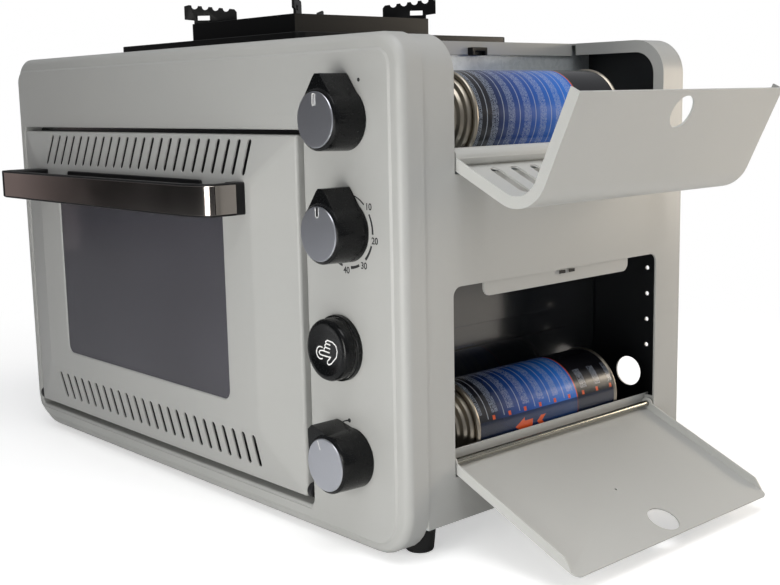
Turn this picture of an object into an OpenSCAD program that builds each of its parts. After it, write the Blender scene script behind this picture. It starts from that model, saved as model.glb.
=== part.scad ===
// Portable butane oven with a one-burner stove top and two side cartridge bays.
// Millimetres, +Z up, the door faces -Y. The origin is the middle of the footprint on the floor,
// counted with both bay covers open, as the oven stands at rest.

/* [Body] */
// Width of the front panel
body_w = 540; // [500:1:580]
// Height of the front panel's top edge above the floor
body_h = 354; // [348:1:380]
// Depth from the front face to the back of the back panel
body_d = 304; // [300:1:340]
// Gap between the floor and the front panel
panel_lift = 4; // [3:0.5:10]
// Height of the base plate above the floor
base_lift = 23.5; // [21:0.5:26]
// Thickness of the pressed steel sheet
sheet = 1.5; // [1:0.1:1.8]
// Depth of the front panel's return flange
panel_wrap = 19; // [19:0.5:24]
// Radius of the front panel's top corners
panel_r_top = 22; // [14:1:28]
// Radius of the front panel's bottom corners
panel_r_bottom = 34; // [20:1:40]
// Inset of the raised plateau from the panel's edge
plateau_inset = 13; // [10:1:14]
// Height of the raised plateau
plateau_rise = 1.2; // [0.6:0.1:1.6]
// Inset of the casing behind the front panel's edge
casing_inset = 0.8; // [0.4:0.1:1]
// Radius of the casing's top shoulders
shoulder_r = 27; // [24:1:30]

/* [Feet] */
// Radius of a foot at the floor
foot_r = 10; // [8:0.5:12]
// Distance of a foot's axis from the side
foot_inset_x = 26; // [20:1:34]
// Distance of a foot's axis from the front and the back
foot_inset_y = 34; // [32:1:44]

/* [Oven door] */
// Left edge of the door
door_x = 15; // [12:0.5:20]
// Width of the door
door_w = 419; // [405:1:422]
// Bottom edge of the door
door_z = 27; // [26:0.5:30]
// Height of the door
door_h = 259; // [255:1:262]
// Gap round the door in its recess
door_gap = 5; // [4:0.5:6]
// How far the door's edge stands out of the panel's face
door_proud = 2; // [1.5:0.5:4]
// Depth of the door behind the panel's face
door_back = 13; // [11:0.5:14]
// Height of the sloped face's flat middle over its edge
face_rise = 10; // [7:0.5:11]
// Width of the slope at the sides and the bottom
slope_side = 43; // [38:1:48]
// Width of the slope at the top
slope_top = 31; // [30:1:34]
// Frame width between the flat's edge and the window
window_border = 37; // [33:1:42]
// Frame width above and below the window
window_rail = 17; // [14:1:20]
// Corner radius of the window
window_r = 8; // [4:1:12]
// Thickness of the glass
glass_t = 4; // [3:0.5:5]
// Height of the door's hinge axis over its bottom edge
door_axis_up = 5; // [4.5:0.5:6]
// Radius of a door hinge pin
door_pin_r = 2.5; // [2:0.1:3]

/* [Door vents] */
// Number of slots in a row
vent_count = 24; // [20:1:26]
// Spacing of the slots
vent_pitch = 13.4; // [12:0.1:14]
// Width of a slot
vent_w = 4; // [3:0.1:5]
// Length of a slot
vent_len = 24; // [20:0.5:25]
// Distance of the top row from the door's top edge
vent_top_gap = 3.5; // [3:0.5:5]
// Distance of the bottom row from the door's bottom edge
vent_bottom_gap = 13; // [10:0.5:15]

/* [Handle] */
// Length of the handle
handle_len = 321; // [300:1:330]
// Reach of the handle in front of the panel's face
handle_out = 50; // [44:1:56]
// Height of the chrome band
band_h = 21; // [18:0.5:24]
// Thickness of the chrome band
band_t = 1.2; // [1:0.1:1.5]
// Height of the grip's rim over and under the band
grip_rim = 1.8; // [1:0.1:3]
// Thickness of the grip behind the band
grip_t = 13; // [11:0.5:15]
// Outer radius of the band's bends
band_bend_r = 30; // [24:1:34]
// Width of a handle leg
leg_w = 20; // [16:1:24]
// Height of the band's middle above the floor
handle_z = 242.5; // [241:0.5:244]
// Length of the guard strip behind the grip
guard_len = 211; // [190:1:230]

/* [Controls] */
// Distance of the knobs' axes from the panel's right edge
knob_from_right = 53; // [50:0.5:56]
// Height of the stove knob
stove_knob_z = 299; // [297:0.5:301]
// Height of the timer knob
timer_knob_z = 225; // [220:0.5:230]
// Height of the safety button
button_z = 144; // [138:0.5:150]
// Height of the oven knob
oven_knob_z = 68.5; // [67:0.5:71]
// Distance of the safety button's axis from the panel's right edge
button_from_right = 64; // [60:0.5:67]
// Radius of a knob
knob_r = 20.5; // [18:0.5:22]
// Depth of a knob
knob_depth = 25; // [20:0.5:28]
// Reach of a knob's pointer from the axis
pointer_reach = 29.5; // [27:0.5:32]
// Width of the pointer's tip
pointer_tip = 9; // [6:0.5:12]
// Radius of a knob's shaft
shaft_r = 3; // [2.5:0.1:3.5]
// Angle of the oven knob's pointer at rest, anticlockwise seen from the front
oven_knob_turn = 40; // [0:1:60]
// Radius of the safety button
button_r = 21.5; // [19:0.5:22.5]
// Reach of the safety button in front of the panel's face
button_out = 15; // [13:0.5:17]
// Travel of the safety button
button_travel = 5; // [3:0.5:6]

/* [Upper bay] */
// Front end of the upper bay's opening
upper_y0 = 47.5; // [46:0.5:50]
// Back end of the upper bay's opening
upper_y1 = 278; // [276:0.5:284]
// Bottom edge of the upper bay's opening
upper_sill = 261.5; // [260:0.5:262]
// Distance of the top cut from the body's right side
upper_cut_w = 92; // [90:0.5:94]
// Height of the lid's pivot above the opening's bottom edge
lid_pivot_up = 11; // [10.5:0.5:12]
// Outer radius of the lid's rolled hinge hem
hem_r = 6; // [5.5:0.5:6.5]
// Depth of the lid's end flanges
lid_flange = 8; // [6:0.5:8]
// Angle that the lid has turned from closed
lid_open = 115.5; // [112:0.5:116]
// Radius of the finger holes in the lid and the bay door
finger_r = 11.5; // [9:0.5:13]
// Number of slots in the lid's hinged leg
lid_slots = 9; // [5:1:10]
// Spacing of the lid's slots
lid_slot_pitch = 20; // [18:0.5:22]
// Width of a lid slot
lid_slot_w = 9; // [7:0.5:11]

/* [Lower bay] */
// Front end of the lower bay's opening
lower_y0 = 45; // [44:0.5:50]
// Back end of the lower bay's opening
lower_y1 = 272; // [270:0.5:280]
// Bottom edge of the lower bay's opening
lower_z0 = 55; // [54:0.5:55.5]
// Top edge of the lower bay's opening
lower_z1 = 186.5; // [180:0.5:195]
// Corner radius of the lower bay's opening
lower_r = 7; // [4:1:10]
// Height of the bay door's rod above the opening's bottom edge
rod_up = 9; // [8.5:0.5:10]
// Angle that the bay door has turned from closed
bay_door_open = 113; // [110:0.5:113.5]
// Radius of the bay door's rod
rod_r = 2.5; // [2:0.1:2.8]
// Depth of the bay door's side flanges
bay_flange = 7; // [5:0.5:7]

/* [Cartridges] */
// Radius of a cartridge's rims
rim_r = 33.6; // [32:0.1:34]
// Distance between a cartridge's rims, outside to outside
can_len = 160; // [155:1:162]
// Front rim's distance behind the panel's face
can_y = 80; // [78:1:84]
// Upper cartridge axis, from the body's right side
upper_can_from_right = 46; // [45.5:0.5:46.5]
// Upper cartridge axis above the floor
upper_can_z = 297.5; // [297:0.5:298.5]
// Lower cartridge axis, from the body's right side
lower_can_from_right = 46; // [45.5:0.5:46.5]
// Lower cartridge axis above the floor
lower_can_z = 75.5; // [75:0.5:76.5]
// How far a cartridge slides back off its regulator
can_release = 12; // [10:0.5:14]

/* [Stove] */
// Distance of the burner's axis from the body's left side
stove_x = 249; // [245:1:255]
// Distance of the burner's axis behind the front face
stove_y = 160; // [155:1:165]
// Width of the drip tray
tray_w = 262; // [250:1:275]
// Depth of the drip tray
tray_d = 230; // [220:1:236]
// Height of the drip tray's rim
tray_h = 8.5; // [7:0.5:10]
// Side of the pan support's square skirt
support_w = 148; // [140:1:156]
// Height of the skirt
skirt_h = 25; // [22:0.5:28]
// Height of the arms above the skirt
arm_rise = 15.5; // [12:0.5:18]
// Length of an arm inwards from the corner
arm_in = 40; // [34:0.5:44]
// Length of an arm outwards from the corner
arm_out = 6.5; // [5:0.5:9]
// Thickness of the skirt and the arms
support_t = 2.2; // [2:0.1:3]
// Radius of the burner head
burner_r = 34; // [30:1:36]

/* [Oven] */
// Gap between the oven's mouth and the door's edge
mouth_inset = 25; // [24:0.5:28]
// Depth of the cavity behind its front flange
cavity_d = 270; // [262:1:272]
// Height of the cavity
cavity_h = 214; // [206:1:216]
// Height of the rack above the floor
rack_z = 150; // [140:1:160]
// Spacing of the rack's wires
rack_pitch = 20; // [16:0.5:26]
// Radius of the rack's frame wire
rack_wire_r = 2; // [1.6:0.1:2.4]

/* [Hidden] */
$fn = 48;

// Colours
paint = "#b9b9b3";
lid_paint = "#d3d3cf";
black = "#141416";
enamel = "#1c1d1f";
steel = "#a9abad";
zinc = "#c4c9cb";
chrome = "#8d8b8a";
disc_metal = "#c9cbcd";
rubber = "#151515";
brass = "#b08a4a";
can_blue = "#1f4f9c";
glass_dark = "#26282b";
lead_red = "#7d3a24";

// Clearances
part_gap = 0.3;
run_gap = 0.05;
lid_gap = 1.5;

// Casing
side_x = body_w - casing_inset;
top_z = body_h - casing_inset;
inner_side_x = side_x - sheet;
inner_top_z = top_z - sheet;
back_y = body_d - sheet;

// Door and its recess
door_x1 = door_x + door_w;
door_z1 = door_z + door_h;
door_mid_x = door_x + door_w / 2;
recess_y = door_back + 3.5;
flat_x0 = door_x + slope_side;
flat_x1 = door_x1 - slope_side;
flat_z0 = door_z + slope_side;
flat_z1 = door_z1 - slope_top;
face_y = -door_proud - face_rise;
window_x0 = flat_x0 + window_border;
window_x1 = flat_x1 - window_border;
window_z0 = flat_z0 + window_rail;
window_z1 = flat_z1 - window_rail;
door_axis_y = 3.2;
door_axis_z = door_z + door_axis_up;
bracket_t = door_gap - part_gap;

// Controls
knob_x = body_w - knob_from_right;
button_x = body_w - button_from_right;
panel_front = -plateau_rise;
knob_base_y = panel_front - part_gap;
disc_t = 1;
valve_front_y = sheet + 0.5;
valve_len = 28;
pipe_y = valve_front_y + 22;
regulator_y = valve_front_y + valve_len;
regulator_len = can_y - 24 - regulator_y;

// Cartridges
upper_can_x = body_w - upper_can_from_right;
lower_can_x = body_w - lower_can_from_right;
can_back_y = can_y + can_len;
can_body_r = rim_r - 1;
stem_r = 4;
stem_out = 23;

// Upper bay
lid_y0 = upper_y0 + lid_gap;
lid_y1 = upper_y1 - lid_gap;
lid_mid_y = (lid_y0 + lid_y1) / 2;
lid_pivot_x = side_x - hem_r;
lid_pivot_z = upper_sill + lid_pivot_up;
lid_tip_x = body_w - upper_cut_w + lid_gap;
lid_pin_r = 2;
divider_x = body_w - upper_cut_w;

// Lower bay
rod_x = side_x - 5;
rod_z = lower_z0 + rod_up;
bay_door_y0 = lower_y0 + lid_gap;
bay_door_y1 = lower_y1 - lid_gap;
bay_door_mid_y = (bay_door_y0 + bay_door_y1) / 2;
bay_door_t = 1.2;
sill_x = lower_can_x + rim_r + 0.5;

// Stove
tray_floor = 1.2;
tray_z = top_z + part_gap;
support_z = tray_z + tray_floor + part_gap;
burner_hole_r = burner_r + 4;

// Oven
liner_t = 1.2;
mouth_x0 = door_x + mouth_inset;
mouth_x1 = door_x1 - mouth_inset + 1;
mouth_z0 = door_z + 21;
mouth_z1 = mouth_z0 + cavity_h;
liner_y = recess_y + sheet;
rail_r = 3;
rail_out = 5;

// The footprint's middle. The bay door's free edge reaches furthest to the right.
bay_door_len = lower_z1 - lid_gap - rod_z;
reach_x = rod_x - 5 * cos(180 - bay_door_open) + bay_door_len * sin(bay_door_open)
    + bay_flange * cos(180 - bay_door_open);
origin_x = reach_x / 2;
origin_y = (body_d - handle_out) / 2;

// Helpers

module place() {
    translate([-origin_x, -origin_y, 0]) children();
}

// A profile in X and Z, drawn out along Y from y0 to y1
module along_y(y0, y1) {
    translate([0, y1, 0]) rotate([90, 0, 0]) linear_extrude(y1 - y0) children();
}

// A profile in Y and Z, drawn out along X from x0 to x1
module along_x(x0, x1) {
    translate([x0, 0, 0]) rotate([90, 0, 90]) linear_extrude(x1 - x0) children();
}

// A rectangle with its own radius at the top corners and at the bottom corners
module round_rect(x0, z0, x1, z1, rt, rb) {
    translate([x0, z0 + rb]) square([x1 - x0, z1 - z0 - rt - rb]);
    translate([x0 + rb, z0]) square([x1 - x0 - 2 * rb, rb]);
    translate([x0 + rt, z1 - rt]) square([x1 - x0 - 2 * rt, rt]);
    for (x = [x0 + rb, x1 - rb]) translate([x, z0 + rb]) circle(rb);
    for (x = [x0 + rt, x1 - rt]) translate([x, z1 - rt]) circle(rt);
}

// The casing's section, drawn in by an inset
module casing_section(inset) {
    r = shoulder_r - inset + casing_inset;
    x0 = inset;
    x1 = body_w - inset;
    z1 = body_h - inset;
    translate([x0, base_lift]) square([x1 - x0, z1 - r - base_lift]);
    translate([x0 + r, z1 - r]) square([x1 - x0 - 2 * r, r]);
    for (x = [x0 + r, x1 - r]) translate([x, z1 - r]) circle(r);
}

// A cylinder along Y
module rod_y(r, y0, y1) {
    translate([0, y0, 0]) rotate([-90, 0, 0]) cylinder(r = r, h = y1 - y0);
}

// A cylinder along X
module rod_x(r, x0, x1) {
    translate([x0, 0, 0]) rotate([0, 90, 0]) cylinder(r = r, h = x1 - x0);
}

// An upright slot with round ends in the XZ plane, its middle at the origin
module slot_2d(w, h) {
    translate([-w / 2, -h / 2 + w / 2]) square([w, h - w]);
    for (s = [-1, 1]) translate([0, s * (h / 2 - w / 2)]) circle(w / 2);
}

// A block whose front face is smaller than its back, both faces square to Y
module tapered_block(x0, z0, x1, z1, y0, fx0, fz0, fx1, fz1, y1) {
    pts = [
        [x0, y0, z0], [x1, y0, z0], [x1, y0, z1], [x0, y0, z1],
        [fx0, y1, fz0], [fx1, y1, fz0], [fx1, y1, fz1], [fx0, y1, fz1]
    ];
    polyhedron(pts, [[0, 1, 2, 3], [7, 6, 5, 4], [4, 5, 1, 0], [5, 6, 2, 1], [6, 7, 3, 2], [7, 4, 0, 3]]);
}

// Body

module front_panel() {
    color(paint) place() difference() {
        union() {
            along_y(0, sheet) round_rect(0, panel_lift, body_w, body_h, panel_r_top, panel_r_bottom);
            along_y(-plateau_rise, 0)
                round_rect(
                    plateau_inset, panel_lift + plateau_inset, body_w - plateau_inset, body_h - plateau_inset,
                    panel_r_top - 10, panel_r_bottom - 12
                );
            along_y(sheet, panel_wrap) difference() {
                round_rect(0, panel_lift, body_w, body_h, panel_r_top, panel_r_bottom);
                round_rect(
                    sheet, panel_lift + sheet, body_w - sheet, body_h - sheet,
                    panel_r_top - sheet, panel_r_bottom - sheet
                );
            }
            along_y(sheet, recess_y) recess_outline(sheet);
        }
        along_y(-plateau_rise - 1, recess_y + 1) recess_outline(0);
        for (z = [stove_knob_z, timer_knob_z, oven_knob_z])
            translate([knob_x, 0, z]) rod_y(shaft_r + 1, -plateau_rise - 1, sheet + 1);
        translate([button_x, 0, button_z]) rod_y(9, -plateau_rise - 1, sheet + 1);
    }
}

module recess_outline(grow) {
    round_rect(
        door_x - door_gap - grow, door_z - door_gap - grow, door_x1 + door_gap + grow,
        door_z1 + door_gap + grow, 5 + grow, 5 + grow
    );
}

module outer_casing() {
    color(paint) place() union() {
        difference() {
            along_y(panel_wrap, back_y) difference() {
                casing_section(casing_inset);
                casing_section(casing_inset + sheet);
                translate([-1, base_lift - 1]) square([1, 1]);
                translate([casing_inset + sheet, base_lift - 1])
                    square([body_w - 2 * (casing_inset + sheet), 40]);
            }
            translate([divider_x, upper_y0, upper_sill])
                cube([body_w, upper_y1 - upper_y0, body_h]);
            along_x(inner_side_x - 1, body_w + 1)
                round_rect(lower_y0, lower_z0, lower_y1, lower_z1, lower_r, 1.5);
            translate([stove_x, stove_y, inner_top_z - 1]) cylinder(r = burner_hole_r, h = sheet + 2);
        }
        // Return flanges at both ends of the upper opening, with the lid pin's bores
        for (y = [upper_y0 - sheet, upper_y1]) difference() {
            along_y(y, y + sheet) intersection() {
                difference() {
                    casing_section(casing_inset + sheet);
                    casing_section(casing_inset + sheet + 8);
                }
                translate([divider_x + 4, upper_sill - 4]) square([body_w, body_h]);
            }
            translate([lid_pivot_x, 0, lid_pivot_z]) rod_y(lid_pin_r + run_gap, y - 1, y + sheet + 1);
        }
        // Downturned lip along the cut in the top
        translate([divider_x - sheet, upper_y0, inner_top_z - 8.5])
            cube([sheet, upper_y1 - upper_y0, 8.5]);
        // Rest tab of the bay door, set in behind the sheet
        along_x(inner_side_x - sheet, inner_side_x)
            round_rect(lower_y0 + 31, lower_z1 - 10, lower_y1 - 35, lower_z1 + 8, 2, 6);
        // Ears that carry the bay door's rod
        for (y = [lower_y0 - sheet - 0.5, lower_y1 + 0.5]) difference() {
            translate([inner_side_x - 8, y, rod_z - 6]) cube([8, sheet, 12]);
            translate([rod_x, 0, rod_z]) rod_y(rod_r + run_gap, y - 1, y + sheet + 1);
        }
    }
}

module back_panel() {
    color(paint) place() difference() {
        along_y(back_y, body_d) casing_section(casing_inset);
        // Vent slots over the oven
        for (row = [0, 1])
            for (i = [0 : 13])
                translate([door_mid_x + (i - 6.5) * 22, 0, 300 - row * 190])
                    along_y(back_y - 1, body_d + 1) slot_2d(5, 26);
        // Round hole behind the lower cartridge and the small holes over it
        translate([lower_can_x - 3, 0, lower_can_z + 3]) rod_y(12.5, back_y - 1, body_d + 1);
        for (row = [0 : 3])
            for (i = [0 : 2])
                translate([lower_can_x + 8 + i * 7, 0, 104 + row * 21.6]) rod_y(1.8, back_y - 1, body_d + 1);
    }
}

module base_plate() {
    color(zinc) place() difference() {
        union() {
            translate([casing_inset + sheet, panel_wrap, base_lift])
                cube([inner_side_x - casing_inset - sheet, back_y - panel_wrap, sheet]);
            translate([casing_inset + sheet, back_y - sheet, base_lift])
                cube([inner_side_x - casing_inset - sheet, sheet, 12]);
        }
        for (i = [0 : 6])
            translate([door_mid_x + (i - 3) * 44, 210, base_lift - 1]) linear_extrude(sheet + 2)
                slot_2d(6, 60);
    }
}

module foot(x, y) {
    color(rubber) place() translate([x, y, 0]) difference() {
        rotate_extrude() polygon([
            [0, 0], [foot_r - 1, 0], [foot_r, 1], [foot_r + 2, base_lift - 3],
            [foot_r + 2, base_lift], [0, base_lift]
        ]);
        translate([0, 0, -1]) cylinder(r = foot_r - 4, h = 4);
    }
}

module foot_front_left() { foot(foot_inset_x, foot_inset_y); }
module foot_front_right() { foot(body_w - foot_inset_x, foot_inset_y); }
module foot_back_left() { foot(foot_inset_x, body_d - foot_inset_y); }
module foot_back_right() { foot(body_w - foot_inset_x, body_d - foot_inset_y); }

// The cavity, open at the front, with its flange, embossed walls and rack rails
module oven_liner() {
    color(enamel) place() difference() {
        union() {
            along_y(recess_y, liner_y) difference() {
                round_rect(
                    door_x - door_gap - 3, door_z - door_gap - 3, door_x1 + door_gap + 3,
                    door_z1 + door_gap + 3, 6, 6
                );
                round_rect(mouth_x0, mouth_z0, mouth_x1, mouth_z1, 6, 6);
            }
            along_y(liner_y, liner_y + cavity_d)
                round_rect(
                    mouth_x0 - liner_t, mouth_z0 - liner_t, mouth_x1 + liner_t, mouth_z1 + liner_t, 7.2, 7.2
                );
        }
        along_y(liner_y - 1, liner_y + cavity_d - liner_t)
            round_rect(mouth_x0, mouth_z0, mouth_x1, mouth_z1, 6, 6);
        // Heat slots in the floor over the burner
        for (i = [0 : 9])
            translate([door_mid_x + (i - 4.5) * 34, liner_y + cavity_d / 2, mouth_z0 - liner_t - 1])
                linear_extrude(liner_t + 2) slot_2d(9, 60);
        // Vents in the back wall
        for (i = [0 : 7])
            translate([door_mid_x + (i - 3.5) * 24, 0, mouth_z1 - 34])
                along_y(liner_y + cavity_d - liner_t - 1, liner_y + cavity_d + 1) slot_2d(5, 24);
    }
    color(enamel) place() rack_rails();
}

module rack_rails() {
    for (z = [rack_z - 50, rack_z, rack_z + 50])
        translate([0, 0, z - rail_r - rack_wire_r - part_gap]) {
            rack_rail(mouth_x0, 1);
            rack_rail(mouth_x1, -1);
        }
}

// A round-nosed rail embossed inwards from a side wall
module rack_rail(x, side) {
    nose = rail_out - rail_r;
    translate([x, 0, 0]) mirror([side < 0 ? 1 : 0, 0, 0]) {
        translate([nose, 0, 0]) rod_y(rail_r, liner_y + 20, liner_y + cavity_d - 20);
        translate([-liner_t / 2, liner_y + 20, -rail_r])
            cube([nose + liner_t / 2, cavity_d - 40, 2 * rail_r]);
    }
}

// Dark pressed wall between the oven and the bays, and the bright shield over it
module bay_divider() {
    x = lower_can_x - rim_r - 6;
    color(steel) place() difference() {
        union() {
            along_x(x - sheet, x) divider_outline();
            // Raised fields of the pressed wall
            for (z = [[32, 118], [136, 180], [198, 244]])
                along_x(x, x + 2) round_rect(64, z[0], back_y - 30, z[1], 10, 10);
            // The shelf's seat and the bright upper shield
            translate([divider_x - sheet, 30, upper_sill - 7])
                cube([x - divider_x + sheet, back_y - 30, sheet]);
            translate([divider_x - 2 * sheet, 30, upper_sill - 7])
                cube([sheet, back_y - 30, inner_top_z - upper_sill + 7]);
        }
        for (z = [[32, 118], [136, 180], [198, 244]])
            along_x(x - sheet - 1, x + 1) round_rect(66, z[0] + 2, back_y - 32, z[1] - 2, 8, 8);
        translate([0, 84, 225]) rod_x(4, x - 10, x + 10);
    }
}

module divider_outline() {
    translate([30, base_lift + sheet]) square([back_y - sheet - 30, upper_sill - 7 - base_lift - sheet]);
}

// The upper cartridge's trough, with its folded rail behind the lid's hinge
module bay_shelf() {
    cx = upper_can_x;
    cz = upper_can_z;
    r = rim_r + 0.4;
    edge_x = r * sin(50);
    edge_z = cz - r * cos(50);
    rail_x = lid_pivot_x - hem_r - 1;
    color(zinc) place() along_y(upper_y0 + 0.5, upper_y1 - 0.5) union() {
        difference() {
            translate([cx, cz]) circle(r + sheet);
            translate([cx, cz]) circle(r);
            translate([cx - 50, edge_z]) square([100, 100]);
        }
        translate([divider_x, edge_z - sheet]) square([cx - edge_x - divider_x, sheet]);
        translate([cx + edge_x, edge_z - sheet]) square([rail_x - cx - edge_x, sheet]);
        translate([rail_x - sheet, upper_sill - 5]) square([sheet, edge_z - upper_sill + 5]);
        translate([rail_x - sheet, upper_sill - 5]) square([inner_side_x - rail_x + sheet, sheet]);
    }
}

// Two saddles on a foot plate
module lower_cradle() {
    y0 = can_y + can_release + 6;
    y1 = can_back_y - 24;
    z0 = base_lift + sheet;
    color(zinc) place() union() {
        translate([lower_can_x - 26, y0, z0]) cube([52, y1 - y0 + 2, sheet]);
        for (y = [y0, y1]) along_y(y, y + 2) difference() {
            translate([lower_can_x - 30, z0]) square([60, lower_can_z - z0 - 12]);
            translate([lower_can_x, lower_can_z]) circle(can_body_r + part_gap);
        }
    }
}

// Folded sill under the lower opening
module lower_sill() {
    z0 = base_lift + sheet;
    color(paint) place() along_y(lower_y0 - 6, lower_y1 + 6) union() {
        translate([sill_x, z0]) square([1.3, rod_z + 7 - z0]);
        translate([sill_x, z0]) square([inner_side_x - sill_x, sheet]);
    }
}

module hinge_bracket(x0) {
    color(black) place() difference() {
        along_x(x0, x0 + bracket_t) union() {
            translate([door_axis_y, door_axis_z]) circle(5.5);
            translate([door_axis_y, door_axis_z - 5.5]) square([recess_y - door_axis_y, 11]);
        }
        translate([0, door_axis_y, door_axis_z]) rod_x(door_pin_r + run_gap, x0 - 1, x0 + bracket_t + 1);
    }
}

module hinge_bracket_left() { hinge_bracket(door_x - door_gap); }
module hinge_bracket_right() { hinge_bracket(door_x1 + part_gap); }

// Spring catches of the two bay covers
module upper_catch() {
    color(black) place() translate([divider_x, lid_mid_y - 8.5, inner_top_z - 9]) difference() {
        cube([5, 17, 6]);
        translate([2, 3, -1]) cube([4, 11, 4]);
    }
}

module lower_catch() {
    color(black) place() translate([inner_side_x - sheet - 5, bay_door_mid_y - 8, lower_z1 - 9])
        difference() {
            cube([5, 16, 6]);
            translate([-1, 3, -1]) cube([4, 10, 4]);
        }
}

// Gas train

module valve(z) {
    translate([knob_x, 0, z]) difference() {
        union() {
            rod_y(13, valve_front_y, valve_front_y + valve_len);
            rod_y(7, sheet, valve_front_y);
            translate([-18, pipe_y - 6, -6]) cube([18, 12, 12]);
        }
        rod_y(shaft_r + run_gap, sheet - 1, valve_front_y + 16);
    }
}

module stove_valve() { color(brass) place() valve(stove_knob_z); }
module oven_valve() { color(brass) place() valve(oven_knob_z); }

module timer_unit() {
    color(black) place() translate([knob_x, 0, timer_knob_z]) difference() {
        union() {
            translate([-22, valve_front_y, -24]) cube([44, 30, 48]);
            rod_y(7, sheet, valve_front_y + 1);
        }
        rod_y(shaft_r + run_gap, sheet - 1, valve_front_y + 16);
    }
}

module safety_valve() {
    color(brass) place() translate([button_x, 0, button_z]) difference() {
        union() {
            rod_y(14, sheet, 24);
            rod_y(9, 24, 38);
            translate([-5, 38, -2]) cube([10, 5, 4]);
        }
        rod_y(8 + run_gap, sheet - 1, 18);
    }
}

// The regulator takes the cartridge's stem in its socket
module regulator(x, z) {
    translate([x, regulator_y, z]) difference() {
        union() {
            rod_y(19, 0, regulator_len - 8);
            rod_y(13, regulator_len - 8, regulator_len);
        }
        rod_y(stem_r + part_gap, regulator_len - 14, regulator_len + 1);
    }
}

module upper_regulator() { color(zinc) place() regulator(upper_can_x, upper_can_z); }
module lower_regulator() { color(zinc) place() regulator(lower_can_x, lower_can_z); }

// A quarter bend of pipe in the XY plane, from +X round to +Y
module bend(r_bend, r_pipe) {
    rotate_extrude(angle = 90) translate([r_bend, 0]) circle(r_pipe);
}

module stove_pipe() {
    r = 4;
    b = 14;
    y = pipe_y;
    z = stove_knob_z;
    color(steel) place() union() {
        translate([0, y, z]) rod_x(r, stove_x + b, knob_x - 18);
        translate([stove_x + b, y + b, z]) rotate([0, 0, 180]) bend(b, r);
        translate([stove_x, 0, z]) rod_y(r, y + b, stove_y - b);
        translate([stove_x, stove_y - b, z + b]) rotate([0, 90, 0]) bend(b, r);
        translate([stove_x, stove_y, z + b]) cylinder(r = r, h = 12);
    }
}

module oven_pipe() {
    r = 4;
    b = 12;
    x0 = knob_x - 18;
    y = pipe_y;
    y1 = liner_y + cavity_d / 2;
    z = burner_z();
    x1 = burner_x1() + b;
    color(steel) place() union() {
        translate([0, y, oven_knob_z]) rod_x(r, x0 - 10, x0);
        translate([x0 - 10, y, oven_knob_z - b]) rotate([90, 0, 0]) rotate([0, 0, 90]) bend(b, r);
        translate([x0 - 10 - b, y, z + b]) cylinder(r = r, h = oven_knob_z - z - 2 * b);
        translate([x0 - 10 - 2 * b, y, z + b]) rotate([-90, 0, 0]) bend(b, r);
        translate([0, y, z]) rod_x(r, x1 + b, x0 - 10 - 2 * b);
        translate([x1 + b, y + b, z]) rotate([0, 0, 180]) bend(b, r);
        translate([x1, 0, z]) rod_y(r, y + b, y1 - b);
        translate([x1 - b, y1 - b, z]) bend(b, r);
    }
}

function burner_z() = (base_lift + sheet + mouth_z0 - liner_t) / 2;
function burner_x1() = mouth_x1 - 30;

module oven_burner() {
    y = liner_y + cavity_d / 2;
    x0 = mouth_x0 + 40;
    color(steel) place() translate([0, y, burner_z()]) difference() {
        union() {
            rod_x(7.5, x0, burner_x1());
            for (x = [x0 + 20, burner_x1() - 40])
                translate([x, -10, base_lift + sheet - burner_z()]) cube([3, 20, burner_z() - base_lift - sheet]);
        }
        for (i = [0 : 14])
            translate([x0 + 16 + i * 18, 0, 0]) cylinder(r = 1.2, h = 10);
    }
}

// Folded spreader plate on the cavity's floor, over the flame
module burner_deflector() {
    y = liner_y + cavity_d / 2;
    color(enamel) place() along_x(mouth_x0 + 24, mouth_x1 - 24)
        polygon([
            [y - 46, mouth_z0], [y - 44, mouth_z0], [y - 38, mouth_z0 + 10], [y, mouth_z0 + 14],
            [y + 38, mouth_z0 + 10], [y + 44, mouth_z0], [y + 46, mouth_z0], [y + 40, mouth_z0 + 12],
            [y, mouth_z0 + 16], [y - 40, mouth_z0 + 12]
        ]);
}

module stove_burner() {
    pipe_top = stove_knob_z + 26;
    color(zinc) place() translate([stove_x, stove_y, 0]) difference() {
        union() {
            translate([0, 0, pipe_top]) cylinder(r = 9, h = inner_top_z - pipe_top);
            translate([0, 0, inner_top_z - sheet]) cylinder(r = burner_hole_r + 10, h = sheet);
            translate([0, 0, inner_top_z]) cylinder(r = burner_r - 6, h = 8);
            translate([0, 0, inner_top_z + 8]) cylinder(r1 = burner_r - 6, r2 = burner_r, h = 6);
            translate([0, 0, inner_top_z + 14]) cylinder(r = burner_r, h = 6);
        }
        translate([0, 0, inner_top_z + 10]) cylinder(r = burner_r - 5, h = 11);
        for (i = [0 : 23])
            rotate([0, 0, i * 15]) translate([burner_r - 8, -1, inner_top_z + 16.5]) cube([12, 2, 4]);
    }
}

module burner_cap() {
    z = inner_top_z + 20;
    color(black) place() translate([stove_x, stove_y, z]) union() {
        rotate_extrude() polygon([
            [0, 0], [burner_r - 1, 0], [burner_r, 1], [burner_r - 1, 3], [burner_r - 8, 5], [0, 6]
        ]);
        translate([0, 0, -10]) cylinder(r = burner_r - 10, h = 10);
    }
}

module button_bezel() {
    color(black) place() translate([button_x, 0, button_z]) difference() {
        rod_y(button_r + 1.5, panel_front - 4, panel_front);
        rod_y(button_r + part_gap, panel_front - 5, panel_front + 1);
    }
}

// Ignition lead: from the safety valve back into the bay, up, and through the divider
lead_r = 1.4;
lead_route = [
    [0, 43.3, 0], [0, 48, 0], [7, 60, 14], [12, 68, 36], [10, 74, 56], [2, 80, 72], [-8, 84, 80],
    [-20, 84, 81], [-34, 84, 81]
];

function lead_point(i) =
    [button_x, 0, button_z] + lead_route[i];

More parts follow.
